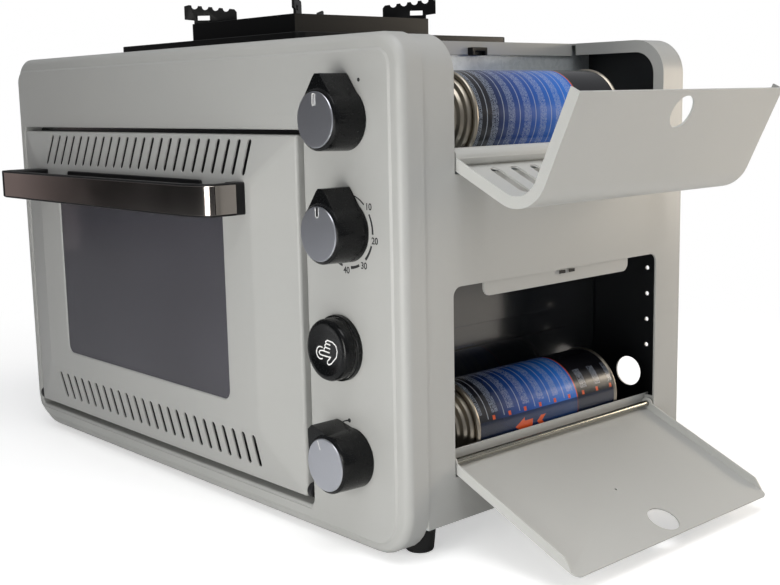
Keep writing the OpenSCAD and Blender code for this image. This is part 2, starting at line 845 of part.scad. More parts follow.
// A smooth curve through the route's points
function lead_at(t) =
    let (
        n = len(lead_route) - 1,
        i = min(floor(t), n - 1),
        u = t - i,
        p0 = lead_point(max(i - 1, 0)),
        p1 = lead_point(i),
        p2 = lead_point(i + 1),
        p3 = lead_point(min(i + 2, n))
    )
    0.5 * (2 * p1 + (p2 - p0) * u + (2 * p0 - 5 * p1 + 4 * p2 - p3) * u * u
        + (3 * p1 - p0 - 3 * p2 + p3) * u * u * u);

function unit(v) = v / norm(v);

module igniter_lead() {
    steps = 40;
    sides = 8;
    n = len(lead_route) - 1;
    path = [for (i = [0 : steps]) lead_at(n * i / steps)];
    rings = [
        for (i = [0 : steps])
            let (
                d = unit(path[min(i + 1, steps)] - path[max(i - 1, 0)]),
                a = unit(cross(d, [0.3, 0.1, 1])),
                b = cross(d, a)
            )
            for (k = [0 : sides - 1])
                path[i] + lead_r * (cos(k * 360 / sides) * a + sin(k * 360 / sides) * b)
    ];
    walls = [
        for (i = [0 : steps - 1])
            for (k = [0 : sides - 1])
                let (k2 = (k + 1) % sides)
                for (f = [
                    [i * sides + k, (i + 1) * sides + k, (i + 1) * sides + k2],
                    [i * sides + k, (i + 1) * sides + k2, i * sides + k2]
                ]) f
    ];
    caps = [
        [for (k = [0 : sides - 1]) k],
        [for (k = [sides - 1 : -1 : 0]) steps * sides + k]
    ];
    color(lead_red) place() polyhedron(rings, concat(walls, caps));
}

// Oven door

module door_panel() {
    t = 1.2;
    color(paint) place() difference() {
        union() {
            translate([door_x, -door_proud, door_z]) cube([door_w, door_proud + door_back, door_h]);
            tapered_block(
                door_x, door_z, door_x1, door_z1, -door_proud,
                flat_x0, flat_z0, flat_x1, flat_z1, face_y
            );
        }
        translate([door_x + t, -door_proud + t, door_z + t])
            cube([door_w - 2 * t, door_proud + door_back, door_h - 2 * t]);
        tapered_block(
            door_x + t, door_z + t, door_x1 - t, door_z1 - t, -door_proud + t,
            flat_x0 + t, flat_z0 + t, flat_x1 - t, flat_z1 - t, face_y + t
        );
        along_y(face_y - 1, face_y + t + 1)
            round_rect(window_x0, window_z0, window_x1, window_z1, window_r, window_r);
        vent_row(door_z1 - vent_top_gap - vent_len / 2);
        vent_row(door_z + vent_bottom_gap + vent_len / 2);
        for (x = [door_x - 1, door_x1 - t - 1])
            translate([0, door_axis_y, door_axis_z]) rod_x(door_pin_r, x, x + t + 2);
    }
}

module vent_row(z) {
    for (i = [0 : vent_count - 1])
        translate([door_mid_x + (i - (vent_count - 1) / 2) * vent_pitch, 0, z])
            along_y(face_y - 1, -door_proud + 2.5) slot_2d(vent_w, vent_len);
}

module door_glass() {
    color(glass_dark, 0.6) place() along_y(face_y + 1.2, face_y + 1.2 + glass_t)
        round_rect(window_x0 - 9, window_z0 - 9, window_x1 + 9, window_z1 + 9, 6, 6);
}

// Inner pan of the door, with its own window
module door_liner() {
    t = 1.2;
    x0 = door_x + t;
    x1 = door_x1 - t;
    z0 = door_z + t;
    z1 = door_z1 - t;
    y0 = face_y + 1.2 + glass_t;
    color(enamel) place() difference() {
        union() {
            translate([x0, door_back - t, z0]) cube([x1 - x0, t, z1 - z0]);
            along_y(y0, door_back)
                round_rect(window_x0 - 4, window_z0 - 4, window_x1 + 4, window_z1 + 4, 6, 6);
            // Bosses that hold the hinge pins
            for (x = [x0, x1 - 8])
                translate([x, -door_proud + 1.5, z0]) cube([8, door_proud + door_back - 2, 11]);
        }
        along_y(y0 - 1, door_back + 1)
            round_rect(window_x0 - 2, window_z0 - 2, window_x1 + 2, window_z1 + 2, 5, 5);
        for (x = [x0, x1 - 8])
            translate([0, door_axis_y, door_axis_z]) rod_x(door_pin_r, x - 1, x + 9);
    }
}

module door_pins() {
    color(steel) place() translate([0, door_axis_y, door_axis_z]) union() {
        rod_x(door_pin_r, door_x - bracket_t, door_x + 9.2);
        rod_x(door_pin_r, door_x1 - 9.2, door_x1 + part_gap + bracket_t);
    }
}

// A U in plan: round outer corners, legs to the door. grow draws the outside in.
module handle_plan(inset, y_end) {
    x0 = door_mid_x - handle_len / 2 + inset;
    x1 = door_mid_x + handle_len / 2 - inset;
    r = band_bend_r - inset;
    y0 = -handle_out + inset;
    intersection() {
        union() {
            translate([x0, y0 + r]) square([x1 - x0, y_end - y0 - r]);
            translate([x0 + r, y0]) square([x1 - x0 - 2 * r, r]);
            for (x = [x0 + r, x1 - r]) translate([x, y0 + r]) circle(r);
        }
        translate([x0 - 1, y0 - 1]) square([x1 - x0 + 2, y_end - y0 + 1]);
    }
}

module handle_band() {
    color(chrome) place() translate([0, 0, handle_z - band_h / 2]) linear_extrude(band_h)
        difference() {
            handle_plan(0, face_y - 5);
            handle_plan(band_t, face_y - 5);
        }
}

module handle_grip() {
    h = band_h + 2 * grip_rim;
    x0 = door_mid_x - handle_len / 2;
    x1 = door_mid_x + handle_len / 2;
    yi = -handle_out + grip_t;
    ri = 6;
    color(black) place() difference() {
        union() {
            translate([0, 0, handle_z - h / 2]) linear_extrude(h) handle_plan(band_t, face_y);
            for (z = [handle_z - h / 2, handle_z + h / 2 - grip_rim])
                translate([0, 0, z]) linear_extrude(grip_rim) handle_plan(0, face_y);
            // The foot of each leg, flush with the band
            for (x = [x0, x1 - leg_w])
                translate([x, face_y - 5, handle_z - h / 2]) cube([leg_w, 5, h]);
        }
        translate([0, 0, handle_z - h / 2 - 1]) linear_extrude(h + 2) union() {
            translate([x0 + leg_w, yi + ri]) square([handle_len - 2 * leg_w, face_y - yi]);
            translate([x0 + leg_w + ri, yi]) square([handle_len - 2 * leg_w - 2 * ri, ri]);
            for (x = [x0 + leg_w + ri, x1 - leg_w - ri]) translate([x, yi + ri]) circle(ri);
        }
    }
}

// Black strip on the door behind the grip
module handle_guard() {
    z0 = window_z1 + 3;
    color(black) place() along_y(face_y - 3, face_y)
        round_rect(
            door_mid_x - guard_len / 2, z0, door_mid_x + guard_len / 2, flat_z1 - 1, 2, 2
        );
}

// Knobs

module knob_shape() {
    translate([0, knob_base_y, 0]) difference() {
        union() {
            rotate([90, 0, 0]) cylinder(r1 = knob_r + 0.5, r2 = knob_r - 0.3, h = knob_depth - 1.5);
            translate([0, -knob_depth + 1.5, 0]) rotate([90, 0, 0])
                cylinder(r1 = knob_r - 0.3, r2 = knob_r - 1.8, h = 1.5);
            along_y(-knob_depth + 2, 0) polygon([
                [-pointer_tip / 2, pointer_reach - 2], [-pointer_tip / 2 + 2, pointer_reach],
                [pointer_tip / 2 - 2, pointer_reach], [pointer_tip / 2, pointer_reach - 2],
                [knob_r * sin(42), knob_r * cos(42)], [0, 0], [-knob_r * sin(42), knob_r * cos(42)]
            ]);
        }
        rod_y(shaft_r, -knob_depth + 8, 1);
    }
}

module disc_shape() {
    translate([0, knob_base_y - knob_depth, 0]) difference() {
        rod_y(knob_r - 2.3, -disc_t, 0);
        translate([-0.7, -disc_t - 1, knob_r - 9.5]) cube([1.4, 1.4, 5.5]);
    }
}

module shaft_shape() {
    rod_y(shaft_r, knob_base_y - knob_depth + 8, valve_front_y + 14);
}

module at_knob(z, turn) {
    translate([knob_x, 0, z]) rotate([0, -turn, 0]) children();
}

module stove_knob() { color(black) place() at_knob(stove_knob_z, 0) knob_shape(); }
module stove_disc() { color(disc_metal) place() at_knob(stove_knob_z, 0) disc_shape(); }
module stove_shaft() { color(steel) place() at_knob(stove_knob_z, 0) shaft_shape(); }
module timer_knob() { color(black) place() at_knob(timer_knob_z, 0) knob_shape(); }
module timer_disc() { color(disc_metal) place() at_knob(timer_knob_z, 0) disc_shape(); }
module timer_shaft() { color(steel) place() at_knob(timer_knob_z, 0) shaft_shape(); }
module oven_knob() { color(black) place() at_knob(oven_knob_z, oven_knob_turn) knob_shape(); }
module oven_disc() { color(disc_metal) place() at_knob(oven_knob_z, oven_knob_turn) disc_shape(); }
module oven_shaft() { color(steel) place() at_knob(oven_knob_z, oven_knob_turn) shaft_shape(); }

// Dished cap and the plunger that it pushes
module safety_button() {
    cap_y1 = panel_front - button_travel - part_gap;
    color(black) place() translate([button_x, 0, button_z]) difference() {
        union() {
            rotate([90, 0, 0]) rotate_extrude() polygon([
                [0, -cap_y1], [button_r, -cap_y1], [button_r, button_out - 2.5], [button_r - 0.8, button_out - 0.8],
                [button_r - 2.5, button_out], [button_r - 4, button_out], [button_r - 8, button_out - 1.6],
                [0, button_out - 2.2]
            ]);
            rod_y(8, cap_y1, 12);
        }
    }
}

// Upper lid: rolled hem, slotted leg, round fold and plain leg, turned open about its pin

module lid_turned() {
    place() translate([lid_pivot_x, 0, lid_pivot_z]) rotate([0, lid_open, 0])
        translate([-lid_pivot_x, 0, -lid_pivot_z]) children();
}

// The lid's closed section between the outer skin and a depth inside it
module lid_section(depth) {
    r = shoulder_r;
    translate([side_x - depth, lid_pivot_z]) square([depth, top_z - r - lid_pivot_z]);
    translate([lid_tip_x, top_z - depth]) square([side_x - r - lid_tip_x, depth]);
    intersection() {
        difference() {
            translate([side_x - r, top_z - r]) circle(r);
            translate([side_x - r, top_z - r]) circle(r - depth);
        }
        translate([side_x - r, top_z - r]) square([r, r]);
    }
}

module upper_lid() {
    color(lid_paint) lid_turned() difference() {
        union() {
            along_y(lid_y0, lid_y1) union() {
                lid_section(sheet);
                translate([lid_pivot_x, lid_pivot_z]) circle(hem_r);
            }
            for (y = [lid_y0, lid_y1 - sheet]) along_y(y, y + sheet) lid_section(lid_flange);
        }
        translate([lid_pivot_x, 0, lid_pivot_z]) rod_y(lid_pin_r, lid_y0 - 1, lid_y1 + 1);
        for (i = [0 : lid_slots - 1])
            translate([0, lid_mid_y + (i - (lid_slots - 1) / 2) * lid_slot_pitch, lid_pivot_z + 9])
                along_x(side_x - sheet - 1, side_x + 1)
                    translate([0, 18]) slot_2d(lid_slot_w, 35);
        translate([side_x - 74, lid_mid_y, top_z - sheet - 1]) cylinder(r = finger_r, h = sheet + 2);
    }
}

module upper_lid_pin() {
    color(steel) place() translate([lid_pivot_x, 0, lid_pivot_z])
        rod_y(lid_pin_r, upper_y0 - 2 * sheet, upper_y1 + 2 * sheet);
}

// Bay door: a flat pan on a rod, turned open

module bay_door_turned() {
    place() translate([rod_x, 0, rod_z]) rotate([0, bay_door_open, 0])
        translate([-rod_x, 0, -rod_z]) children();
}

module bay_door() {
    z1 = rod_z + bay_door_len;
    color(lid_paint) bay_door_turned() difference() {
        union() {
            along_x(side_x - bay_door_t, side_x)
                round_rect(bay_door_y0, rod_z - 2, bay_door_y1, z1, 6, 0.5);
            for (y = [bay_door_y0, bay_door_y1 - bay_door_t]) along_y(y, y + bay_door_t) union() {
                translate([rod_x, rod_z]) circle(4.7);
                translate([side_x - bay_flange, rod_z]) square([bay_flange, z1 - 14 - rod_z]);
                translate([side_x - bay_flange, z1 - 14])
                    polygon([[0, 0], [bay_flange, 0], [bay_flange, 8], [bay_flange - 2, 8]]);
            }
        }
        translate([rod_x, 0, rod_z]) rod_y(rod_r, bay_door_y0 - 1, bay_door_y1 + 1);
        translate([0, bay_door_mid_y, rod_z + 105]) rod_x(finger_r, side_x - 5, side_x + 1);
        translate([0, bay_door_mid_y - 8, rod_z + 67]) rod_x(1, side_x - 5, side_x + 1);
    }
}

module bay_door_rod() {
    color(chrome) place() translate([rod_x, 0, rod_z])
        rod_y(rod_r, lower_y0 - 2 * sheet - 0.5, lower_y1 + 2 * sheet + 0.5);
}

// Stove top

module drip_tray() {
    x0 = stove_x - tray_w / 2;
    y0 = stove_y - tray_d / 2;
    color(black) place() difference() {
        translate([0, 0, tray_z]) linear_extrude(tray_h) round_rect(x0, y0, x0 + tray_w, y0 + tray_d, 8, 8);
        translate([0, 0, tray_z + tray_floor]) linear_extrude(tray_h)
            round_rect(x0 + 1.5, y0 + 1.5, x0 + tray_w - 1.5, y0 + tray_d - 1.5, 6.5, 6.5);
        translate([stove_x, stove_y, tray_z - 1]) cylinder(r = burner_hole_r, h = tray_floor + 2);
    }
}

// Square skirt with a wavy diagonal arm at each corner
module pan_support() {
    w = support_w / 2;
    color(enamel) place() translate([stove_x, stove_y, support_z]) union() {
        difference() {
            translate([-w, -w, 0]) cube([2 * w, 2 * w, skirt_h]);
            translate([-w + support_t, -w + support_t, -1])
                cube([2 * (w - support_t), 2 * (w - support_t), skirt_h + 2]);
        }
        for (a = [45, 135, 225, 315]) rotate([0, 0, a]) support_arm(w * sqrt(2));
    }
}

// One arm in the XZ plane: the corner is at r
module support_arm(r) {
    z0 = skirt_h - 7;
    z1 = skirt_h + arm_rise;
    pitch = (arm_in + arm_out) / 5;
    along_y(-support_t / 2, support_t / 2) difference() {
        polygon([
            [r - arm_in, z0 + 5], [r - arm_in + 3, z0], [r - 2, z0], [r - 2, z0 + 10], [r + arm_out, z0 + 11],
            [r + arm_out, z1], [r + arm_out - 4, z1 + 1], [r - arm_in + 2, z1 - 3.5], [r - arm_in, z1 - 6]
        ]);
        for (i = [0 : 3])
            translate([r - arm_in + pitch * (i + 1), z1 + 1.2 - (4 - i) * 0.9]) circle(3);
        translate([r - 16, skirt_h + 3]) square([11, 4]);
    }
}

// Oven rack: a frame of wire with a row of thinner wires across it
module wire_rack() {
    x0 = mouth_x0 + rack_wire_r + 0.6;
    x1 = mouth_x1 - rack_wire_r - 0.6;
    y0 = liner_y + 24;
    y1 = liner_y + cavity_d - 24;
    n = floor((x1 - x0 - 16) / rack_pitch);
    r = rack_wire_r;
    color(steel) place() translate([0, 0, rack_z]) union() {
        for (y = [y0, y1]) translate([0, y, 0]) rod_x(r, x0, x1);
        for (x = [x0, x1]) translate([x, 0, 0]) rod_y(r, y0, y1);
        for (x = [x0, x1]) for (y = [y0, y1]) translate([x, y, 0]) sphere(r);
        for (i = [0 : n])
            translate([(x0 + x1) / 2 + (i - n / 2) * rack_pitch, 0, r * 0.6]) rod_y(1.2, y0, y1);
        translate([0, (y0 + y1) / 2, 1.2 - r]) rod_x(1.2, x0, x1);
    }
}

// Cartridges: the can's section is turned about its axis, valve end at the front

module can_shape() {
    rotate([-90, 0, 0]) rotate_extrude() polygon([
        [0, 3], [12, 3], [14, 1], [17, 1], [18, -9], [21, -9.5], [22, -7], [25, -6.5], [26, -4], [29, -3.5],
        [30, 0], [rim_r - 1, 0], [rim_r, 1], [rim_r, 3], [can_body_r, 4], [can_body_r, can_len - 4],
        [rim_r, can_len - 3], [rim_r, can_len - 1], [rim_r - 1, can_len], [rim_r - 3, can_len],
        [rim_r - 4, can_len - 5], [18, can_len - 6], [0, can_len - 9]
    ]);
}

module can_valve_shape() {
    rotate([-90, 0, 0]) rotate_extrude() polygon([
        [0, 3], [12, 3], [14, 1], [16.9, 1], [17.2, -12], [16, -14], [14, -14], [13, -11], [8, -11],
        [7, -15], [stem_r, -15], [stem_r, -stem_out], [2, -stem_out - 1], [0, -stem_out - 1]
    ]);
}

module upper_can() {
    color(can_blue) place() translate([upper_can_x, can_y, upper_can_z]) can_shape();
}

module upper_can_valve() {
    color(zinc) place() translate([upper_can_x, can_y, upper_can_z]) can_valve_shape();
}

module lower_can() {
    color(can_blue) place() translate([lower_can_x, can_y, lower_can_z]) can_shape();
}

module lower_can_valve() {
    color(zinc) place() translate([lower_can_x, can_y, lower_can_z]) can_valve_shape();
}

front_panel();
outer_casing();
back_panel();
base_plate();
foot_front_left();
foot_front_right();
foot_back_left();
foot_back_right();
oven_liner();
bay_divider();
bay_shelf();
lower_cradle();
lower_sill();
hinge_bracket_left();
hinge_bracket_right();
upper_catch();
lower_catch();
stove_valve();
oven_valve();
timer_unit();
safety_valve();
upper_regulator();
lower_regulator();
stove_pipe();
oven_pipe();
oven_burner();
burner_deflector();
stove_burner();
burner_cap();
button_bezel();
igniter_lead();
door_panel();
door_glass();
door_liner();
handle_band();
handle_grip();
handle_guard();
door_pins();
stove_knob();
stove_disc();
stove_shaft();
timer_knob();
timer_disc();
timer_shaft();
oven_knob();
oven_disc();
oven_shaft();
safety_button();
upper_lid();
upper_lid_pin();
bay_door();
bay_door_rod();
drip_tray();
pan_support();
wire_rack();
upper_can();
upper_can_valve();
lower_can();
lower_can_valve();
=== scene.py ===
"""A portable butane oven with a stove top: the looks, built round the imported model.

Sizes on the oven are in millimetres from the front panel's left edge, its face and the floor, and
at() turns them into a point in the frame.
"""

import math

import bmesh
import bpy
from mathutils import Matrix, Vector


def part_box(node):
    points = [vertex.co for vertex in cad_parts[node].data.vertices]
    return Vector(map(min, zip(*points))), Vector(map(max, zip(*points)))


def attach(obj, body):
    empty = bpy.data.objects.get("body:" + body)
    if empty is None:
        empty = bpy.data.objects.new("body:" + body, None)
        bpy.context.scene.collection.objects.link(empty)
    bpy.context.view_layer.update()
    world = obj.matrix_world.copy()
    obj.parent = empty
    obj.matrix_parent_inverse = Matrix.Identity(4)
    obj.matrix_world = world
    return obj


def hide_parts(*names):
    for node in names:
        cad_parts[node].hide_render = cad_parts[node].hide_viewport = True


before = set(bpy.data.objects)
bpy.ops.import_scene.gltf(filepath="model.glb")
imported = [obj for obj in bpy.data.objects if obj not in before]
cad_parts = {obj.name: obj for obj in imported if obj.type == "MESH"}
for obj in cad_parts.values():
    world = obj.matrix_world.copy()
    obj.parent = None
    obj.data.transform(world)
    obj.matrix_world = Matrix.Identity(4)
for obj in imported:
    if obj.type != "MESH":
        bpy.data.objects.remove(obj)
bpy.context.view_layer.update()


# Camera and studio. The oven stands on a white table in front of nothing, seen from the right
# of its door at the height of its top. The camera was solved from the body's outlines. The room
# is dark to the left, so flat faces mirror little, and a lamp low at the right grades the front.
camera_place, lens_mm = (0.7697, -0.6358, 0.3120), 54.91
view_azimuth, view_elevation, view_roll = (math.radians(a) for a in (48.09, 9.29, -1.16))
view_back = Vector((
    math.sin(view_azimuth) * math.cos(view_elevation),
    -math.cos(view_azimuth) * math.cos(view_elevation),
    math.sin(view_elevation),
))
level_right = Vector((math.cos(view_azimuth), math.sin(view_azimuth), 0))
level_up = view_back.cross(level_right)
view_right = math.cos(view_roll) * level_right + math.sin(view_roll) * level_up
view_up = math.cos(view_roll) * level_up - math.sin(view_roll) * level_right

camera = bpy.data.objects.new("camera", bpy.data.cameras.new("camera"))
bpy.context.scene.collection.objects.link(camera)
camera.data.sensor_width = 36
camera.data.lens = lens_mm
camera.matrix_world = Matrix.Translation(camera_place) @ Matrix(
    (view_right, view_up, view_back)
).transposed().to_4x4()
bpy.context.scene.camera = camera
bpy.context.scene.view_settings.view_transform = "Standard"


def fed(node, inputs):
    """Feeds a node's inputs. A socket is linked, and any other value is set."""
    for key, value in inputs.items():
        if isinstance(value, bpy.types.NodeSocket):
            node.id_data.links.new(value, node.inputs[key])
        else:
            node.inputs[key].default_value = value
    return node


def add(tree, kind, settings=None, inputs=None):
    """Adds a node with its settings and feeds its inputs."""
    made = tree.nodes.new(kind)
    for key, value in (settings or {}).items():
        setattr(made, key, value)
    return fed(made, inputs or {})


def linear(code):
    """A colour written as sRGB hex, in the linear values that a shader takes."""
    parts = [int(code[i : i + 2], 16) / 255 for i in (1, 3, 5)]
    return (*(p / 12.92 if p <= 0.04045 else ((p + 0.055) / 1.055) ** 2.4 for p in parts), 1)


def seen_by_camera(tree):
    """1 for camera rays, also those that passed through glass, and 0 for all other light."""
    path = add(tree, "ShaderNodeLightPath")
    return add(tree, "ShaderNodeMath", {"operation": "MAXIMUM"},
               {0: path.outputs["Is Camera Ray"], 1: path.outputs["Is Transmission Ray"]}).outputs[0]


brightest_way, dim_at, bright_at = Vector((0.25, 0.40, 0.88)), -0.8, 0.9
dim_room, bright_room = 0.04, 0.38
world = bpy.data.worlds.new("white studio")
bpy.context.scene.world = world
world.use_nodes = True
world.node_tree.nodes.clear()
direction = add(world.node_tree, "ShaderNodeTexCoord").outputs["Generated"]
towards_light = add(world.node_tree, "ShaderNodeVectorMath", {"operation": "DOT_PRODUCT"},
                    {0: direction, 1: brightest_way})
room_light = add(world.node_tree, "ShaderNodeMapRange", {"interpolation_type": "SMOOTHSTEP"},
                 {0: towards_light.outputs["Value"], 1: dim_at, 2: bright_at,
                  3: dim_room, 4: bright_room})
room = add(world.node_tree, "ShaderNodeBackground",
           inputs={"Color": linear("#f6f7fa"), "Strength": room_light.outputs[0]})
white = add(world.node_tree, "ShaderNodeBackground", inputs={"Color": (1, 1, 1, 1), "Strength": 1})
sky = add(world.node_tree, "ShaderNodeMixShader",
          inputs={0: seen_by_camera(world.node_tree), 1: room.outputs[0], 2: white.outputs[0]})
add(world.node_tree, "ShaderNodeOutputWorld", inputs={"Surface": sky.outputs[0]})

# The camera sees the table brightened under the oven and plain white further out. The oven
# mirrors it as matt white that goes dark a long way out.
table_half = 6
fade_from, fade_to = 0.45, 0.95
dusk_from, dusk_to = 1.2, 3.0
table = bpy.data.meshes.new("table")
table_corners = [(x * table_half, y * table_half, 0) for x, y in ((-1, -1), (1, -1), (1, 1), (-1, 1))]
table.from_pydata(table_corners, [], [(0, 1, 2, 3)])
table_top = bpy.data.objects.new("table_top", table)
bpy.context.scene.collection.objects.link(table_top)
laminate = bpy.data.materials.new("white laminate")
laminate.use_nodes = True
tree = laminate.node_tree
tree.nodes.clear()
matt_white = add(tree, "ShaderNodeBsdfDiffuse", inputs={"Color": (0.86, 0.86, 0.86, 1)})
lift = add(tree, "ShaderNodeEmission", inputs={"Color": (1, 1, 1, 1), "Strength": 0.50})
lifted = add(tree, "ShaderNodeAddShader", inputs={0: matt_white.outputs[0], 1: lift.outputs[0]})
bare_white = add(tree, "ShaderNodeEmission", inputs={"Color": (1, 1, 1, 1), "Strength": 1.0})
reach = add(tree, "ShaderNodeVectorMath", {"operation": "LENGTH"},
            {0: add(tree, "ShaderNodeTexCoord").outputs["Object"]})
fade = add(tree, "ShaderNodeMapRange", {"interpolation_type": "SMOOTHSTEP"},
           {0: reach.outputs["Value"], 1: fade_from, 2: fade_to})
dusk = add(tree, "ShaderNodeMapRange", {"interpolation_type": "SMOOTHSTEP"},
           {0: reach.outputs["Value"], 1: dusk_from, 2: dusk_to})
dark_room = add(tree, "ShaderNodeBsdfDiffuse", inputs={"Color": (0.04, 0.04, 0.04, 1)})
into_dark = add(tree, "ShaderNodeMixShader",
                inputs={0: dusk.outputs[0], 1: matt_white.outputs[0], 2: dark_room.outputs[0]})
into_white = add(tree, "ShaderNodeMixShader",
                 inputs={0: fade.outputs[0], 1: lifted.outputs[0], 2: bare_white.outputs[0]})
shown = add(tree, "ShaderNodeMixShader",
            inputs={0: seen_by_camera(tree), 1: into_dark.outputs[0], 2: into_white.outputs[0]})
add(tree, "ShaderNodeOutputMaterial", inputs={"Surface": shown.outputs[0]})
table.materials.append(laminate)


def soft_box(name, place, towards, size, watts, colour):
    """A square studio lamp at a place, turned towards a point."""
    lamp = bpy.data.lights.new(name, "AREA")
    lamp.size = size
    lamp.energy = watts
    lamp.color = linear(colour)[:3]
    stand = bpy.data.objects.new(name, lamp)
    bpy.context.scene.collection.objects.link(stand)
    stand.location = place
    stand.rotation_euler = (Vector(towards) - Vector(place)).to_track_quat("-Z", "Y").to_euler()


soft_box("overhead", (0.6, -0.22, 1.5), (0.25, 0.0, 0.2), 1.0, 10.5, "#ffffff")
soft_box("low front right", (0.33, -0.74, 0.16), (0.17, -0.13, 0.06), 0.3, 2.5, "#fdfcf8")
soft_box("far right", (0.60, 0.95, 0.34), (0.32, 0.15, 0.22), 0.35, 4.2, "#fff0da")
soft_box("left card", (-1.66, -0.66, 0.16), (0.0, -0.2, 0.24), 0.42, 0.2, "#f6e2e0")


# Front panel. One sheet of steel, pressed with a raised field inside its rim and a deep recess
# for the door, and painted. Its rim folds back over the casing and hides its edge.
rim_depth = 19
panel_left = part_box("front_panel")[0].x
panel_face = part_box("outer_casing")[0].y - rim_depth / 1000
panel_outline = (0, 4, 540, 354)
panel_radii = (22, 34)
recess_outline = (10, 22, 439, 291)
recess_radii = (5, 5)
recess_depth = 16.5
plateau_y = -1.2
steel_t = 1.2


def at(x, y, z):
    """The point in the frame that lies x from the panel's left edge, y behind its face and z up."""
    return Vector((panel_left + x / 1000, panel_face + y / 1000, z / 1000))


def rounded_ring(outline, inset, y, radii, steps=8):
    """Points round a rectangle with rounded corners, parallel to the panel and drawn in by an inset.
    radii are those of the upper and of the lower corners."""
    x0, z0, x1, z1 = outline
    points = []
    for cx, cz, side_x, side_z, r, first in (
        (x1, z0, -1, 1, radii[1], -90), (x1, z1, -1, -1, radii[0], 0),
        (x0, z1, 1, -1, radii[0], 90), (x0, z0, 1, 1, radii[1], 180),
    ):
        r_in = max(r - inset, 1.0)
        mid_x, mid_z = cx + side_x * (inset + r_in), cz + side_z * (inset + r_in)
        for k in range(steps + 1):
            a = math.radians(first + 90 * k / steps)
            points.append(at(mid_x + r_in * math.cos(a), y, mid_z + r_in * math.sin(a)))
    return points


def new_piece(name, mesh):
    """A piece from a finished bmesh, its place in its mesh."""
    data = bpy.data.meshes.new(name)
    mesh.to_mesh(data)
    mesh.free()
    made = bpy.data.objects.new(name, data)
    bpy.context.scene.collection.objects.link(made)
    return made


def skinned(mesh, rings, closed=False, ends=False):
    """Adds a skin over closed rings of points to a bmesh. closed joins the last ring to the first."""
    rows = [[mesh.verts.new(p) for p in ring] for ring in rings]
    pairs = list(zip(rows, rows[1:])) + ([(rows[-1], rows[0])] if closed else [])
    for a, b in pairs:
        for i in range(len(a)):
            j = (i + 1) % len(a)
            mesh.faces.new((a[i], a[j], b[j], b[i]))
    if ends:
        mesh.faces.new(rows[0])
        mesh.faces.new(rows[-1])
    bmesh.ops.recalc_face_normals(mesh, faces=mesh.faces)
    return mesh


def skin(name, rings, closed=False, ends=False):
    """A piece that is one such skin."""
    return new_piece(name, skinned(bmesh.new(), rings, closed, ends))


def plain_mesh(piece):
    """Turns what a piece's modifiers make of it into its plain mesh."""
    evaluated = piece.evaluated_get(bpy.context.evaluated_depsgraph_get())
    made = bpy.data.meshes.new_from_object(evaluated)
    piece.modifiers.clear()
    piece.data = made
    return piece


def shade(piece, angle=35):
    """Smooth shading with the creases kept, and the flat faces left flat."""
    piece.data.polygons.foreach_set("use_smooth", [True] * len(piece.data.polygons))
    piece.data.set_sharp_from_angle(angle=math.radians(angle))
    weighted = piece.modifiers.new("flat faces stay flat", "WEIGHTED_NORMAL")
    weighted.keep_sharp = True
    return piece


def bored(piece, holes):
    """Cuts round holes through a piece. A hole is its middle, direction, radius and length."""
    cutter = bmesh.new()
    for middle, direction, radius, length in holes:
        turn = direction.to_track_quat("Z", "Y").to_matrix().to_4x4()
        bmesh.ops.create_cone(
            cutter, cap_ends=True, segments=48, radius1=radius / 1000, radius2=radius / 1000,
            depth=length / 1000, matrix=Matrix.Translation(middle) @ turn,
        )
    tool = new_piece("bore_tool", cutter)
    cut = piece.modifiers.new("bores", "BOOLEAN")
    cut.object, cut.operation, cut.solver = tool, "DIFFERENCE", "EXACT"
    plain_mesh(piece)
    bpy.data.objects.remove(tool)
    return piece


def new_finish(name):
    """A new material, its tree, its shader and the place on the piece that its grain follows."""
    made = bpy.data.materials.new(name)
    made.use_nodes = True
    tree = made.node_tree
    place = add(tree, "ShaderNodeTexCoord").outputs["Object"]
    return made, tree, tree.nodes["Principled BSDF"], place


def baked_enamel(name, colour, roughness, tint, peel_mm=0.9, gloss=0.0, shine=0.5):
    """Sprayed and baked paint on steel: an even satin film with a faint orange peel, slightly
    uneven in tone over a hand's breadth. peel_mm is the size of the peel's bumps."""
    made, tree, shader, place = new_finish(name)
    cloud = add(tree, "ShaderNodeTexNoise", inputs={"Vector": place, "Scale": 9.0, "Detail": 3.0})
    tone = add(tree, "ShaderNodeMix", {"data_type": "RGBA"},
               {0: cloud.outputs["Fac"], 6: linear(colour), 7: linear(tint)})
    peel = add(tree, "ShaderNodeTexNoise",
               inputs={"Vector": place, "Scale": 1000 / peel_mm, "Detail": 2.0})
    worn = add(tree, "ShaderNodeMapRange",
               inputs={0: peel.outputs["Fac"], 3: roughness - 0.05, 4: roughness + 0.05})
    bump = add(tree, "ShaderNodeBump",
               inputs={"Height": peel.outputs["Fac"], "Strength": 0.25, "Distance": 0.00006})
    fed(shader, {"Base Color": tone.outputs[2], "Roughness": worn.outputs[0],
                 "Normal": bump.outputs[0], "Coat Weight": gloss, "Coat Roughness": 0.12,
                 "Specular IOR Level": shine})
    return made


# Satin silver-grey: soft wide highlights that brighten every fold and pressed line.
silver_paint = baked_enamel("silver baked enamel", "#b3b4b2", 0.42, "#b9b9b6")
# The black inner enamel is painted shade: it darkens the faces inside the bays.
inner_painted_shade = baked_enamel("black inner enamel as painted shade", "#15171a", 0.38, "#1b1d20", 1.4)


def arc_profile(mid_inset, mid_y, radius, first, last, steps=5):
    """Pairs of inset and depth along an arc of a bend."""
    angles = [math.radians(first + (last - first) * k / steps) for k in range(steps + 1)]
    return [(mid_inset + radius * math.cos(a), mid_y + radius * math.sin(a)) for a in angles]


rim_bend = 6.0
rim_out = [(0, rim_depth)] + arc_profile(rim_bend, rim_bend, rim_bend, 180, 270)
edge_in = [(-3.2, -0.75)] + arc_profile(-2.4, 1.4, 2.0, 250, 360)


